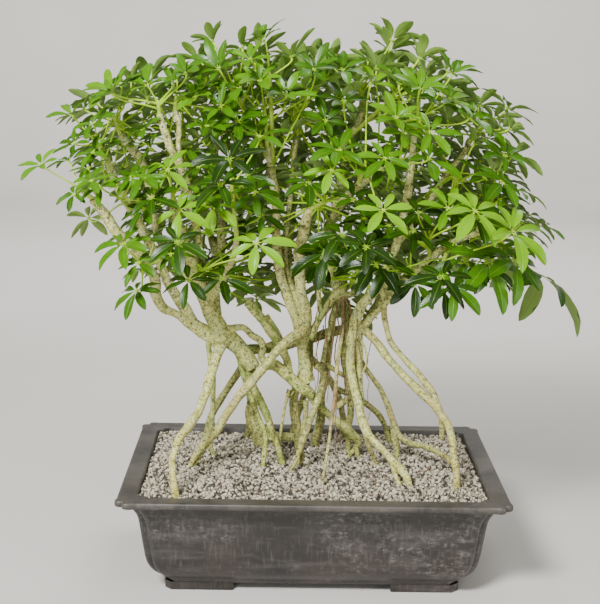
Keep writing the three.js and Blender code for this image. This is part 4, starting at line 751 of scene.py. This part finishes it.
# A row holds the foot and tip of the stem, the number of leaves round it, their first turn in
# degrees, the length of their stalks and leaflets, and the hubs of the leaves that reach out.
SHOOTS = [
    [[-265, -58, 464], [-281, -66, 478], 2, 210, 38, 36,
     [[-319, -88, 507, 34], [-284, -78, 472, 26], [-270, -58, 500, 31]]],
    [[-203, -34, 379], [-207, -50, 384], 1, 0, 46, 36,
     [[-228, -72, 413, 47], [-209, -88, 394, 36], [-214, -62, 356, 42]]],
    [[-254, -20, 507], [-262, -28, 525], 2, 270, 40, 36,
     [[-292, -30, 560, 34], [-264, -56, 552, 36], [-286, -55, 529, 30]]],
    [[-225, -18, 447], [-232, -48, 462], 1, 120, 74, 38,
     [[-217, -74, 493, 40], [-253, -78, 481, 36], [-193, -88, 470, 40]]],
    [[-240, 12, 534], [-247, 10, 555], 3, 30, 50, 38,
     [[-272, 24, 574, 38], [-234, -6, 572, 42], [-210, -18, 543, 34]]],
    [[-189, -28, 562], [-190, -32, 575], 2, 210, 52, 40,
     [[-242, -44, 588, 44], [-202, -36, 596, 41], [-172, -38, 600, 36]]],
    [[-172, -10, 565], [-171, -8, 583], 1, 30, 52, 40,
     [[-172, 10, 602, 39], [-146, -38, 583, 38]]],
    [[-175, -10, 449], [-174, -30, 471], 2, 240, 52, 38,
     [[-176, -68, 501, 40], [-160, -98, 458, 44], [-202, -82, 493, 36]]],
    [[-162, -5, 409], [-152, -38, 421], 1, 0, 76, 38,
     [[-121, -78, 461, 45], [-158, -150, 429, 44]]],
    [[-147, 2, 362], [-135, -28, 376], 1, 30, 74, 44,
     [[-152, -64, 370, 40], [-112, -70, 374, 42], [-70, -152, 429, 48]]],
    [[-96, -38, 415], [-103, -60, 494], 3, 120, 56, 46,
     [[-101, -134, 520, 50], [-74, -72, 477, 42], [-136, -82, 474, 42]]],
    [[-127, 68, 525], [-120, 68, 558], 2, 120, 52, 44,
     [[-149, 62, 602, 48], [-100, 58, 582, 43], [-132, 42, 577, 40]]],
    [[-61, 18, 521], [-66, 10, 570], 2, 90, 64, 46,
     [[-39, -28, 587, 46], [-70, -38, 603, 43], [-95, -36, 556, 46]]],
    [[-57, 20, 500], [-101, 30, 588], 3, 90, 74, 46,
     [[-128, 20, 647, 37], [-93, 14, 640, 45], [-146, 38, 625, 43]]],
    [[-52, 22, 462], [-59, 5, 606], 3, 210, 52, 46,
     [[-66, 0, 650, 44], [-33, 4, 630, 44], [-82, -28, 628, 41]]],
    [[-26, 50, 529], [-22, 50, 568], 5, 0, 52, 46,
     [[-21, 54, 610, 44], [11, 46, 617, 48], [-6, 12, 590, 47]]],
    [[-9, 0, 448], [11, -16, 460], 2, 270, 48, 42,
     [[15, -60, 503, 40], [-11, -50, 487, 41], [42, -52, 468, 41]]],
    [[80, -14, 504], [98, -20, 506], 1, 0, 74, 44,
     [[101, -38, 546, 43], [129, -62, 518, 45], [77, -66, 518, 40]]],
    [[49, 8, 476], [57, -16, 502], 2, 150, 52, 44,
     [[62, -10, 601, 42], [24, -60, 526, 45], [71, -150, 468, 42]]],
    [[57, 58, 567], [53, 50, 592], 3, 90, 64, 46,
     [[88, 30, 651, 50], [17, 50, 622, 43], [62, 63, 626, 38]]],
    [[43, 52, 536], [86, 36, 578], 2, 60, 64, 46,
     [[120, 16, 630, 52], [157, 26, 615, 50], [109, -18, 586, 49]]],
    [[115, -8, 540], [119, -14, 560], 2, 120, 74, 46,
     [[154, -26, 585, 48], [129, -64, 549, 45], [90, -56, 564, 43]]],
    [[192, 60, 529], [204, 58, 547], 2, 150, 52, 46,
     [[226, 34, 548, 48], [200, 50, 573, 43], [192, 77, 560, 44]]],
    [[167, 50, 494], [174, 22, 482], 2, 120, 64, 46,
     [[189, -2, 531, 47], [245, 50, 514, 48], [199, -28, 493, 46]]],
    [[208, -26, 431], [225, -8, 412], 2, 120, 52, 52,
     [[286, 40, 364, 94], [236, -54, 397, 60], [250, -6, 436, 50]]],
    [[193, -25, 426], [210, -14, 458], 1, 60, 52, 46,
     [[236, 2, 517, 49], [240, -14, 478, 49], [217, -56, 491, 43]]],
    [[139, -14, 393], [134, -36, 418], 1, 180, 52, 46,
     [[151, -80, 462, 45], [178, -116, 464, 53], [118, -74, 456, 42]]],
    [[162, -20, 411], [152, -46, 393], 2, 60, 64, 48,
     [[222, -108, 439, 61], [201, -68, 397, 71], [154, -136, 380, 51]]],
    [[121, -6, 375], [112, -36, 376], 2, 300, 52, 48,
     [[69, -84, 395, 58], [116, -74, 372, 47], [139, -150, 394, 50]]],
    [[72, 0, 345], [44, -38, 388], 2, 60, 52, 48,
     [[11, -68, 406, 50], [29, -80, 430, 47], [53, -150, 426, 46]]],
    [[130, 106, 522], [134, 109, 556], 4, 90, 52, 50,
     [[154, 107, 592, 46], [106, 103, 602, 48], [176, 93, 574, 46]]],
    [[196, 86, 410], [216, 91, 436], 3, 300, 64, 52,
     [[240, 81, 456, 50], [225, 100, 456, 50], [222, 90, 500, 48]]],
    [[-164, 108, 500], [-172, 110, 532], 4, 0, 58, 50,
     [[-220, 97, 544, 50], [-182, 109, 558, 48], [-146, 103, 590, 46]]],
    [[-28, 111, 548], [-30, 108, 580], 5, 210, 44, 48,
     [[-62, 104, 612, 46], [14, 102, 600, 46], [-24, 101, 618, 44]]],
]

# Age of the leaves of each shoot, 0 for old, dark and glossy, 1 for young and yellow-green: that of
# each leaf that reaches out, and last that of all the others.
YOUTH = [
    (0.6, 0.55, 0.35, 0.45), (0.55, 0.5, 0.45, 0.4), (0.55, 0.5, 0.5, 0.5), (0.4, 0.4, 0.35, 0.35),
    (0.6, 0.55, 0.45, 0.5), (0.6, 0.6, 0.55, 0.5), (0.65, 0.6, 0.5), (0.8, 0.97, 0.6, 0.35),
    (0.9, 0.15, 0.3), (0.2, 0.12, 0.9, 0.25), (0.03, 0.4, 0.35, 0.35), (0.65, 0.55, 0.55, 0.5),
    (0.6, 0.6, 0.35, 0.45), (0.65, 0.6, 0.65, 0.5), (0.65, 0.65, 0.65, 0.5), (0.65, 0.6, 0.55, 0.45),
    (0.85, 0.3, 0.2, 0.3), (0.7, 0.5, 0.5, 0.4), (0.8, 0.35, 0.92, 0.35), (0.75, 0.45, 0.5, 0.5),
    (0.7, 0.6, 0.55, 0.5), (0.6, 0.5, 0.65, 0.5), (0.6, 0.55, 0.5, 0.45), (0.5, 0.55, 0.3, 0.35),
    (0.3, 0.4, 0.45, 0.35), (0.7, 0.5, 0.45, 0.45), (0.75, 0.85, 0.2, 0.3), (0.85, 0.45, 0.3, 0.25),
    (0.04, 0.15, 0.12, 0.15), (0.04, 0.05, 0.08, 0.12), (0.45, 0.5, 0.45, 0.4), (0.35, 0.4, 0.4, 0.35),
    (0.5, 0.45, 0.5, 0.4), (0.5, 0.45, 0.55, 0.4),
]


def unit(v):
    return np.asarray(v, float) / np.linalg.norm(v)


def leaf_at(foot, hub, length, seed, tilt=(0, 0, 0)):
    """A leaf faces along its stalk, outwards and up, more so to the front and back than to the
    sides. Its leaflets droop, less and less above 480 mm, and rise in the top of the crown. Its
    stalk turns up under the hub where it would come in flatter than the leaflets droop."""
    heading = unit(hub - foot)
    normal = unit(0.15 * heading + 0.45 * unit((0.25 * hub[0], hub[1], 0)) + (0, 0, 0.7) + tilt)
    ahead = unit(heading - normal * heading.dot(normal))
    droop = 0.3 * (seed * 0.618 % 1) - min(0.5, 0.004 * max(hub[2] - 480, 0))
    low = normal.dot(heading) < math.sin(droop) + 0.1
    return {"foot": foot, "hub": hub, "length": length, "normal": normal, "ahead": ahead,
            "heading": heading, "aside": np.cross(normal, ahead), "droop": droop, "low": low,
            "count": 6 + seed % 2}


def leaves_of(row, index):
    """The leaves of a shoot. Leaf k of n round the stem opens 88 - 46 (k + 0.5) / n degrees from it."""
    base, top, whorl, turn, stalk, leaflet, hubs = row
    base, top = np.array(base, float), np.array(top, float)
    axis = unit(top - base)
    side = np.array((1.0, 0, 0) if abs(axis[0]) < 0.7 else (0, 1.0, 0))
    u = unit(side - axis * side.dot(axis))
    v = np.cross(axis, u)
    leaves = [leaf_at(top, np.array(hub[:3], float), hub[3], index + k) for k, hub in enumerate(hubs)]
    for k in range(whorl):
        rise = (k + 0.5) / whorl
        around = math.radians(turn) + k * math.pi * (3 - math.sqrt(5))
        opening = math.radians(88 - 46 * rise)
        reach = stalk * (0.85 + 0.4 * ((k * 0.618 + index * 0.37) % 1))
        outward = u * math.cos(around) + v * math.sin(around)
        heading = axis * math.cos(opening) + outward * math.sin(opening)
        heading[2] = max(heading[2] + 0.28, -0.15)
        start = base + (top - base) * (0.4 + 0.5 * rise)
        size = leaflet * (0.9 + 0.2 * ((k * 0.38 + index * 0.61) % 1))
        leaves.append(leaf_at(start, start + unit(heading) * reach, size, index + 2 * k))
    return leaves


# Hubs of a few long-stalked leaves that hang low at the back, between the left and centre stems.
LOW_HUBS = [(-73, 80, 366), (-42, 88, 344), (-11, 72, 374), (4, 84, 352), (-88, 64, 340), (-57, 97, 354),
            (-28, 94, 350), (-106, 74, 356)]


def inner_leaves(leaves, rng):
    """Further leaves inside the crown, as one list for each shoot. A hub is a random point 24 mm or
    more from every other one, with depth counted half, behind the stems that it would hide, and with
    hubs of the given leaves round it in all four quarters as seen from the front, or at the back, low
    down, in three of them and in two near the middle. The nearest shoot bears it."""
    spacing, nearby, clearance, shortest, longest = 24, 85, 13, 18, 125
    feet, tips = (np.array([row[k] for row in SHOOTS], float) for k in (0, 1))
    wood = np.concatenate([follow(points, 8)[:, :3] for limbs in WOOD.values() for points in limbs])
    first = np.array([leaf["hub"] for shoot in leaves for leaf in shoot])
    hubs, more = first.copy(), [[] for _ in SHOOTS]
    for _ in range(16000):
        hub = rng.uniform((-320, -40, 300), (320, 130, 620))
        if (((hubs - hub) * (1, 0.5, 1)) ** 2).sum(axis=1).min() < spacing ** 2:
            continue
        away = (first - hub)[:, [0, 2]]
        away = away[np.abs(away).max(axis=1) < nearby]
        quarters = 4 if hub[1] < 50 or hub[2] > 430 else 2 if -100 < hub[0] < 60 else 3
        if len({(dx > 0, dz > 0) for dx, dz in away}) < quarters:
            continue
        beside = wood[(np.abs(wood[:, [0, 2]] - hub[[0, 2]]) < (26, 20)).all(axis=1)]
        if len(beside) and hub[1] < beside[:, 1].min() + 12:
            continue
        reach = np.linalg.norm(tips - hub, axis=1)
        index = reach.argmin()
        if not shortest < reach[index] < longest:
            continue
        if ((wood - hub) ** 2).sum(axis=1).min() < clearance ** 2:
            continue
        hubs = np.concatenate([hubs, [hub]])
        start = feet[index] + (tips[index] - feet[index]) * rng.uniform(0.2, 0.95)
        size = SHOOTS[index][5] * rng.uniform(0.75, 1.05) * min(1, 0.5 + reach[index] / 80)
        more[index].append(leaf_at(start, hub, size, index + 3 * len(more[index]), rng.normal(0, 0.16, 3)))
    for hub in np.array(LOW_HUBS, float):
        index = np.linalg.norm(tips - hub, axis=1).argmin()
        start = feet[index] * 0.4 + tips[index] * 0.6
        more[index].append(leaf_at(start, hub, 44, index + 3 * len(more[index])))
    return more


# Every blade has the same points: its foot, six rows of five on its upper side, its tip, and under
# each row three more for its lower side, which shares the margin. s runs along it and t across it.
row_s, row_t = np.array([0.06, 0.2, 0.38, 0.57, 0.76, 0.92]), np.array([-1, -0.5, 0, 0.5, 1])
blade_s = np.concatenate([[0], np.repeat(row_s, 5), [1], np.repeat(row_s, 3)])
blade_t = np.concatenate([[0], np.tile(row_t, 6), [0], np.tile(row_t[1:4], 6)])
blade_size, blade_tip = len(blade_s), 31
blade_under = np.arange(blade_size) > blade_tip
upper = np.arange(1, blade_tip).reshape(6, 5)
lower = upper.copy()
lower[:, 1:4] = np.arange(blade_tip + 1, blade_size).reshape(6, 3)
blade_quads, blade_triangles = [], []
for sheet, way in ((upper, 1), (lower, -1)):
    quads = np.stack([sheet[:-1, :-1], sheet[1:, :-1], sheet[1:, 1:], sheet[:-1, 1:]], axis=-1)
    ends = [(0, sheet[0, j], sheet[0, j + 1]) for j in range(4)]
    ends += [(sheet[5, j], blade_tip, sheet[5, j + 1]) for j in range(4)]
    blade_quads.append(quads.reshape(-1, 4)[:, ::way])
    blade_triangles.append(np.array(ends)[:, ::way])
side_values = [np.repeat([0.0, 1.0], len(faces[0])) for faces in (blade_quads, blade_triangles)]
blade_side = np.concatenate(side_values)
blade_quads, blade_triangles = np.concatenate(blade_quads), np.concatenate(blade_triangles)
blade_margin = (np.abs(blade_t) == 1) | np.isin(np.arange(blade_size), (0, blade_tip))


def leaflet_blade(root, ray, up, length, width, bend, twist, cup, phase):
    """A leaflet: s runs from its foot to its tip, t across it. The midrib is an arc that bends down
    by bend; half width = width s^0.85 (1 - s)^0.75 / 0.33; the margins lift by cup and ripple."""
    side = np.cross(up, ray)
    s, t = blade_s[:, None], blade_t[:, None]
    rib = root + length * (np.sin(bend * s) * ray - (1 - np.cos(bend * s)) * up) / bend
    lift = np.cos(bend * s) * up + np.sin(bend * s) * ray
    roll = twist * s
    across = np.cos(roll) * side + np.sin(roll) * lift
    lift = np.cos(roll) * lift - np.sin(roll) * side
    half = width / 0.33 * s ** 0.85 * (1 - s) ** 0.75
    edge = np.abs(t)
    rise = half * (cup * edge ** 1.4 + 0.09 * edge * np.sin(9 * s + phase)) - 0.45 * blade_under[:, None]
    return rib + across * half * t + lift * rise


# The value "stalk" tells the material what a surface is: 0 for a blade, and these two.
STALK, STEM = 1, 2


def soft_tube(points, radius, sides, tone, kind):
    """A closed green tube round a path: a stalk or a stem."""
    rings, _ = tube(points, radius, sides)
    count = len(points) * sides
    closed = np.concatenate([rings.reshape(-1, 3), points[:1], points[-1:]])
    j = np.arange(sides)
    near, far = np.full(sides, count), np.full(sides, count + 1)
    last = count - sides
    fan = np.concatenate([np.stack([near, (j + 1) % sides, j], axis=1),
                          np.stack([far, last + j, last + (j + 1) % sides], axis=1)])
    size = count + 2
    quads = grid_faces(len(points), sides)
    return {"points": closed, "quads": quads, "triangles": fan, "margin": np.zeros(size, bool),
            "values": {"tone": np.full(size, tone), "along": np.zeros(size), "across": np.ones(size),
                       "stalk": np.full(size, float(kind))},
            "face_values": {"under": np.zeros(len(quads) + len(fan))}}


def arc(points, count):
    """Cubic Bezier curve through four control points."""
    u = np.linspace(0, 1, count)[:, None]
    a, b, c, d = points
    return (1 - u) ** 3 * a + 3 * u * (1 - u) ** 2 * b + 3 * u * u * (1 - u) * c + u ** 3 * d


def compound_leaf(leaf, tone, rng):
    """The parts of one leaf: its stalk, and for each leaflet a short stalk and a blade."""
    hub, normal, ahead, aside = leaf["hub"], leaf["normal"], leaf["ahead"], leaf["aside"]
    gap = np.linalg.norm(hub - leaf["foot"])
    under = 20 if leaf["low"] else 0.2 * gap
    path = arc([leaf["foot"], leaf["foot"] + leaf["heading"] * 0.35 * gap + (0, 0, 0.03 * gap),
                hub - normal * under, hub], 9)
    thick = np.array([1.8, 1.35, 1.15, 1.05, 1.0, 1.0, 1.05, 1.2, 1.5])
    parts = [soft_tube(path, thick, 6, tone, STALK)]
    sag = 0.15 * np.clip((440 - hub[2]) / 60, 0, 1) + 0.2 * np.clip((leaf["length"] - 60) / 25, 0, 1)
    for i in range(leaf["count"]):
        angle = (2 * i + 1 - leaf["count"] % 2) / leaf["count"] * math.pi + rng.normal(0, 0.07)
        reach = leaf["length"] * (0.86 + 0.14 * math.cos(angle)) * rng.uniform(0.84, 1.06)
        dip = leaf["droop"] + sag + rng.normal(0, 0.12)
        flat = ahead * math.cos(angle) + aside * math.sin(angle)
        bend = rng.uniform(0.35, 0.8) + 0.4 * min(1, max(0, leaf["length"] - 42) / 30)
        rise = dip - 0.5 * bend
        ray = unit(flat * math.cos(rise) - normal * math.sin(rise))
        up = unit(normal * math.cos(rise) + flat * math.sin(rise))
        short = 0.13 * reach
        root = hub + ray * short
        stub = np.linspace(hub, root, 3) + up * np.array([0, 0.35, 0])[:, None]
        parts.append(soft_tube(stub, np.array([0.8, 0.55, 0.5]), 4, tone, STALK))
        width = reach * rng.uniform(0.13, 0.168)
        twist, cup, phase = rng.normal(0, 0.25), rng.uniform(0.1, 0.34), rng.uniform(0, 6)
        blade = leaflet_blade(root - ray * 0.8, ray, up, reach * 0.9, width, bend, twist, cup, phase)
        shade = np.clip(tone + rng.normal(0, 0.05), 0, 1)
        parts.append({"points": blade, "quads": blade_quads, "triangles": blade_triangles,
                      "margin": blade_margin, "face_values": {"under": blade_side},
                      "values": {"tone": np.full(blade_size, shade), "along": blade_s,
                                 "across": np.abs(blade_t), "stalk": np.zeros(blade_size)}})
    return parts


# Leathery leaves with a waxy skin: half glossy, with a weak highlight, and duller and paler below.
# They are dark when old and yellow-green when young, mottled every 11 mm, with a pale midrib and
# eleven pairs of side veins, about 4 mm apart. Stalks are lime green, young stems yellower.
leathery, tree, shader = material("leathery_leaf_and_green_stalk")
where = add(tree, "TexCoord", {}, "Object")
tone, along, across, under, stalk = (add(tree, "Attribute", {}, "Fac", attribute_name=name)
                                     for name in ("tone", "along", "across", "under", "stalk"))
mottle = add(tree, "TexNoise", {"Vector": where, "Scale": 90, "Detail": 3, "Roughness": 0.55})
uneven = add(tree, "Math", {0: mottle, 1: 0.5}, operation="SUBTRACT")
aged = add(tree, "Math", {0: uneven, 1: 0.25, 2: tone}, operation="MULTIPLY_ADD")
ages = [(0.05, "#102903"), (0.28, "#264c03"), (0.5, "#427306"), (0.72, "#5d9003"), (0.95, "#6fa300")]
blade = add(tree, "ValToRGB", {0: aged}, stops=ages)
rows = add(tree, "Math", {0: along, 1: 11}, **TIMES)
slant = add(tree, "Math", {0: across, 1: -2.2, 2: rows}, operation="MULTIPLY_ADD")
cycle = add(tree, "Math", {0: slant}, operation="FRACT")
offset = add(tree, "Math", {0: cycle, 1: 0.5}, operation="SUBTRACT")
vein = add(tree, "Math", {0: offset}, operation="ABSOLUTE")
veined = add(tree, "MapRange", {"Value": vein, "From Min": 0.1, "From Max": 0.0, "To Max": 0.12},
             **SMOOTH)
ribbed = add(tree, "MapRange", {"Value": across, "From Min": 0.09, "From Max": 0.02, "To Max": 0.2},
             **SMOOTH)
blade = add(tree, "Mix", {0: veined, 6: blade, 7: "#9cc430"}, **BLEND)
blade = add(tree, "Mix", {0: ribbed, 6: blade, 7: "#9cc430"}, **BLEND)
back = add(tree, "Mix", {0: 0.62, 6: blade, 7: "#93b058"}, **BLEND)
blade = add(tree, "Mix", {0: under, 6: blade, 7: back}, **BLEND)
lime = add(tree, "ValToRGB", {0: aged}, stops=[(0.1, "#8fbb1a"), (0.8, "#b4da2e")])
stem = add(tree, "ValToRGB", {0: mottle}, stops=[(0.35, "#90ac30"), (0.7, "#b9d050")])
is_stalk = add(tree, "MapRange", {"Value": stalk, "From Min": 0.2, "From Max": 0.8}, **SMOOTH)
is_stem = add(tree, "MapRange", {"Value": stalk, "From Min": 1.2, "From Max": 1.8}, **SMOOTH)
base = add(tree, "Mix", {0: is_stalk, 6: blade, 7: lime}, **BLEND)
base = add(tree, "Mix", {0: is_stem, 6: base, 7: stem}, **BLEND)
rough = add(tree, "Math", {0: under, 1: 0.22, 2: 0.32}, operation="MULTIPLY_ADD")
groove = add(tree, "MapRange", {"Value": across, "From Min": 0.0, "From Max": 0.2}, **SMOOTH)
rise = add(tree, "Math", {0: vein, 1: 0.4, 2: groove}, operation="MULTIPLY_ADD")
bump = add(tree, "Bump", {"Height": rise, "Distance": 0.0003, "Strength": 1.0})
tree.links.new(base, shader.inputs["Base Color"])
tree.links.new(rough, shader.inputs["Roughness"])
tree.links.new(bump, shader.inputs["Normal"])
shader.inputs["Specular IOR Level"].default_value = 0.3

shoot_leaves = [leaves_of(row, index) for index, row in enumerate(SHOOTS)]
further_leaves = inner_leaves(shoot_leaves, np.random.default_rng(77))
for index, (row, leaves) in enumerate(zip(SHOOTS, shoot_leaves)):
    rng = np.random.default_rng(500 + index)
    foot, tip = np.array(row[0], float), np.array(row[1], float)
    axis = unit(tip - foot)
    spine = np.array([foot - 4 * axis, foot, foot + (tip - foot) * 0.5, tip, tip + 5 * axis])
    spine = follow(np.column_stack([spine, [3, 3, 2.7, 2.3, 0.7]]), 3)
    *reaching, others = YOUTH[index]
    parts = [soft_tube(spine[:, :3], spine[:, 3], 9, others, STEM)]
    tones = reaching + [others] * (len(leaves) - len(reaching))
    leaves = leaves + further_leaves[index]
    tones += [others - 0.05] * (len(leaves) - len(tones))
    for leaf, age in zip(leaves, tones):
        parts += compound_leaf(leaf, np.clip(age + rng.normal(0, 0.06), 0.02, 1), rng)
    name = f"leafy_shoot_{index + 1:02d}"
    piece(name + "_leaves", parts, leathery, [name])

# Floor and backdrop. One sheet of matt paper, flat for 3.6 m round the pot, whose rim sweeps up
# 1.2 m on a quarter circle. Its tone drifts a little over 700 mm.
flat, lift = 3600, 1200
turn = np.linspace(0, 2 * math.pi, 96, endpoint=False)
curve = np.linspace(0.08, math.pi / 2, 16)
run = np.concatenate([np.linspace(1, flat, 24), flat + lift * np.sin(curve)])[:, None]
climb = np.concatenate([np.zeros(24), lift - lift * np.cos(curve)])[:, None]
sweep = np.stack([run * np.cos(turn), run * np.sin(turn), climb + 0 * turn], axis=-1).reshape(-1, 3)
sheet_faces = grid_faces(len(run), len(turn))[:, ::-1].tolist()
paper, tree, shader = material("pale_backdrop_paper")
where = add(tree, "TexCoord", {}, "Object")
drift = add(tree, "TexNoise", {"Vector": where, "Scale": 1.5, "Detail": 2, "Roughness": 0.5})
base = add(tree, "ValToRGB", {0: drift}, stops=[(0.3, "#cfccc6"), (0.7, "#d6d3cd")])
tree.links.new(base, shader.inputs["Base Color"])
shader.inputs["Roughness"].default_value = 0.95
mesh = bpy.data.meshes.new("backdrop")
mesh.from_pydata((sweep / 1000).tolist(), [], sheet_faces)
mesh.polygons.foreach_set("use_smooth", np.ones(len(mesh.polygons), bool))
mesh.materials.append(paper)
backdrop = bpy.data.objects.new("backdrop", mesh)
bpy.context.scene.collection.objects.link(backdrop)

# Light and camera. Five soft boxes in a bright room, one of them for the backdrop; the camera
# stands 1.7 m in front of the pot, at the height of the leaves, and looks 11 degrees down.


def soft_box(name, place, aim, width, watts):
    """An area light of that width in metres at place, turned to face aim."""
    light = bpy.data.lights.new(name, "AREA")
    light.shape = "RECTANGLE"
    light.size, light.size_y = width, width * 0.75
    light.energy = watts
    made = bpy.data.objects.new(name, light)
    bpy.context.scene.collection.objects.link(made)
    z = unit(np.subtract(place, aim))
    x = unit(np.cross((0, 0, 1), z))
    y = np.cross(z, x)
    made.matrix_world = Matrix([(x[i], y[i], z[i], place[i]) for i in range(3)] + [(0, 0, 0, 1)])
    return made


soft_box("key_box", (-0.95, -1.9, 1.95), (0, 0, 0.35), 0.7, 132)
soft_box("front_box", (-0.7, -2.3, 0.75), (0, 0, 0.4), 0.6, 10)
soft_box("fill_box", (1.9, -1.4, 0.9), (0, 0, 0.35), 1.3, 16)
soft_box("back_box", (0.5, 1.4, 2.1), (0, 0, 0.45), 1.2, 24)
soft_box("backdrop_box", (0, 2.1, 2.6), (0, 4.7, 0.4), 2.4, 120)
world = bpy.data.worlds.new("bright_room")
world.use_nodes = True
world.node_tree.nodes["Background"].inputs["Color"].default_value = (1.0, 0.97, 0.9, 1.0)
world.node_tree.nodes["Background"].inputs["Strength"].default_value = 0.25
bpy.context.scene.world = world

yaw, pitch, roll = -0.0110116, 0.194991, 0.0164608
right = np.array((1.0, 0, 0))
forward = np.array((0, math.cos(pitch), -math.sin(pitch)))
upward = np.array((0, math.sin(pitch), math.cos(pitch)))
tilt = math.cos(roll) * right + math.sin(roll) * upward
upward = math.cos(roll) * upward - math.sin(roll) * right
turn = np.array([(math.cos(yaw), -math.sin(yaw), 0), (math.sin(yaw), math.cos(yaw), 0), (0, 0, 1)])
right, forward, upward = (turn @ v for v in (tilt, forward, upward))
stand = (-0.0371, -1.6809, 0.6647)
lens = bpy.data.cameras.new("camera")
lens.lens = 82.4
lens.sensor_width = 36
camera = bpy.data.objects.new("camera", lens)
bpy.context.scene.collection.objects.link(camera)
rows = [(right[i], upward[i], -forward[i], stand[i]) for i in range(3)]
camera.matrix_world = Matrix(rows + [(0, 0, 0, 1)])
bpy.context.scene.camera = camera
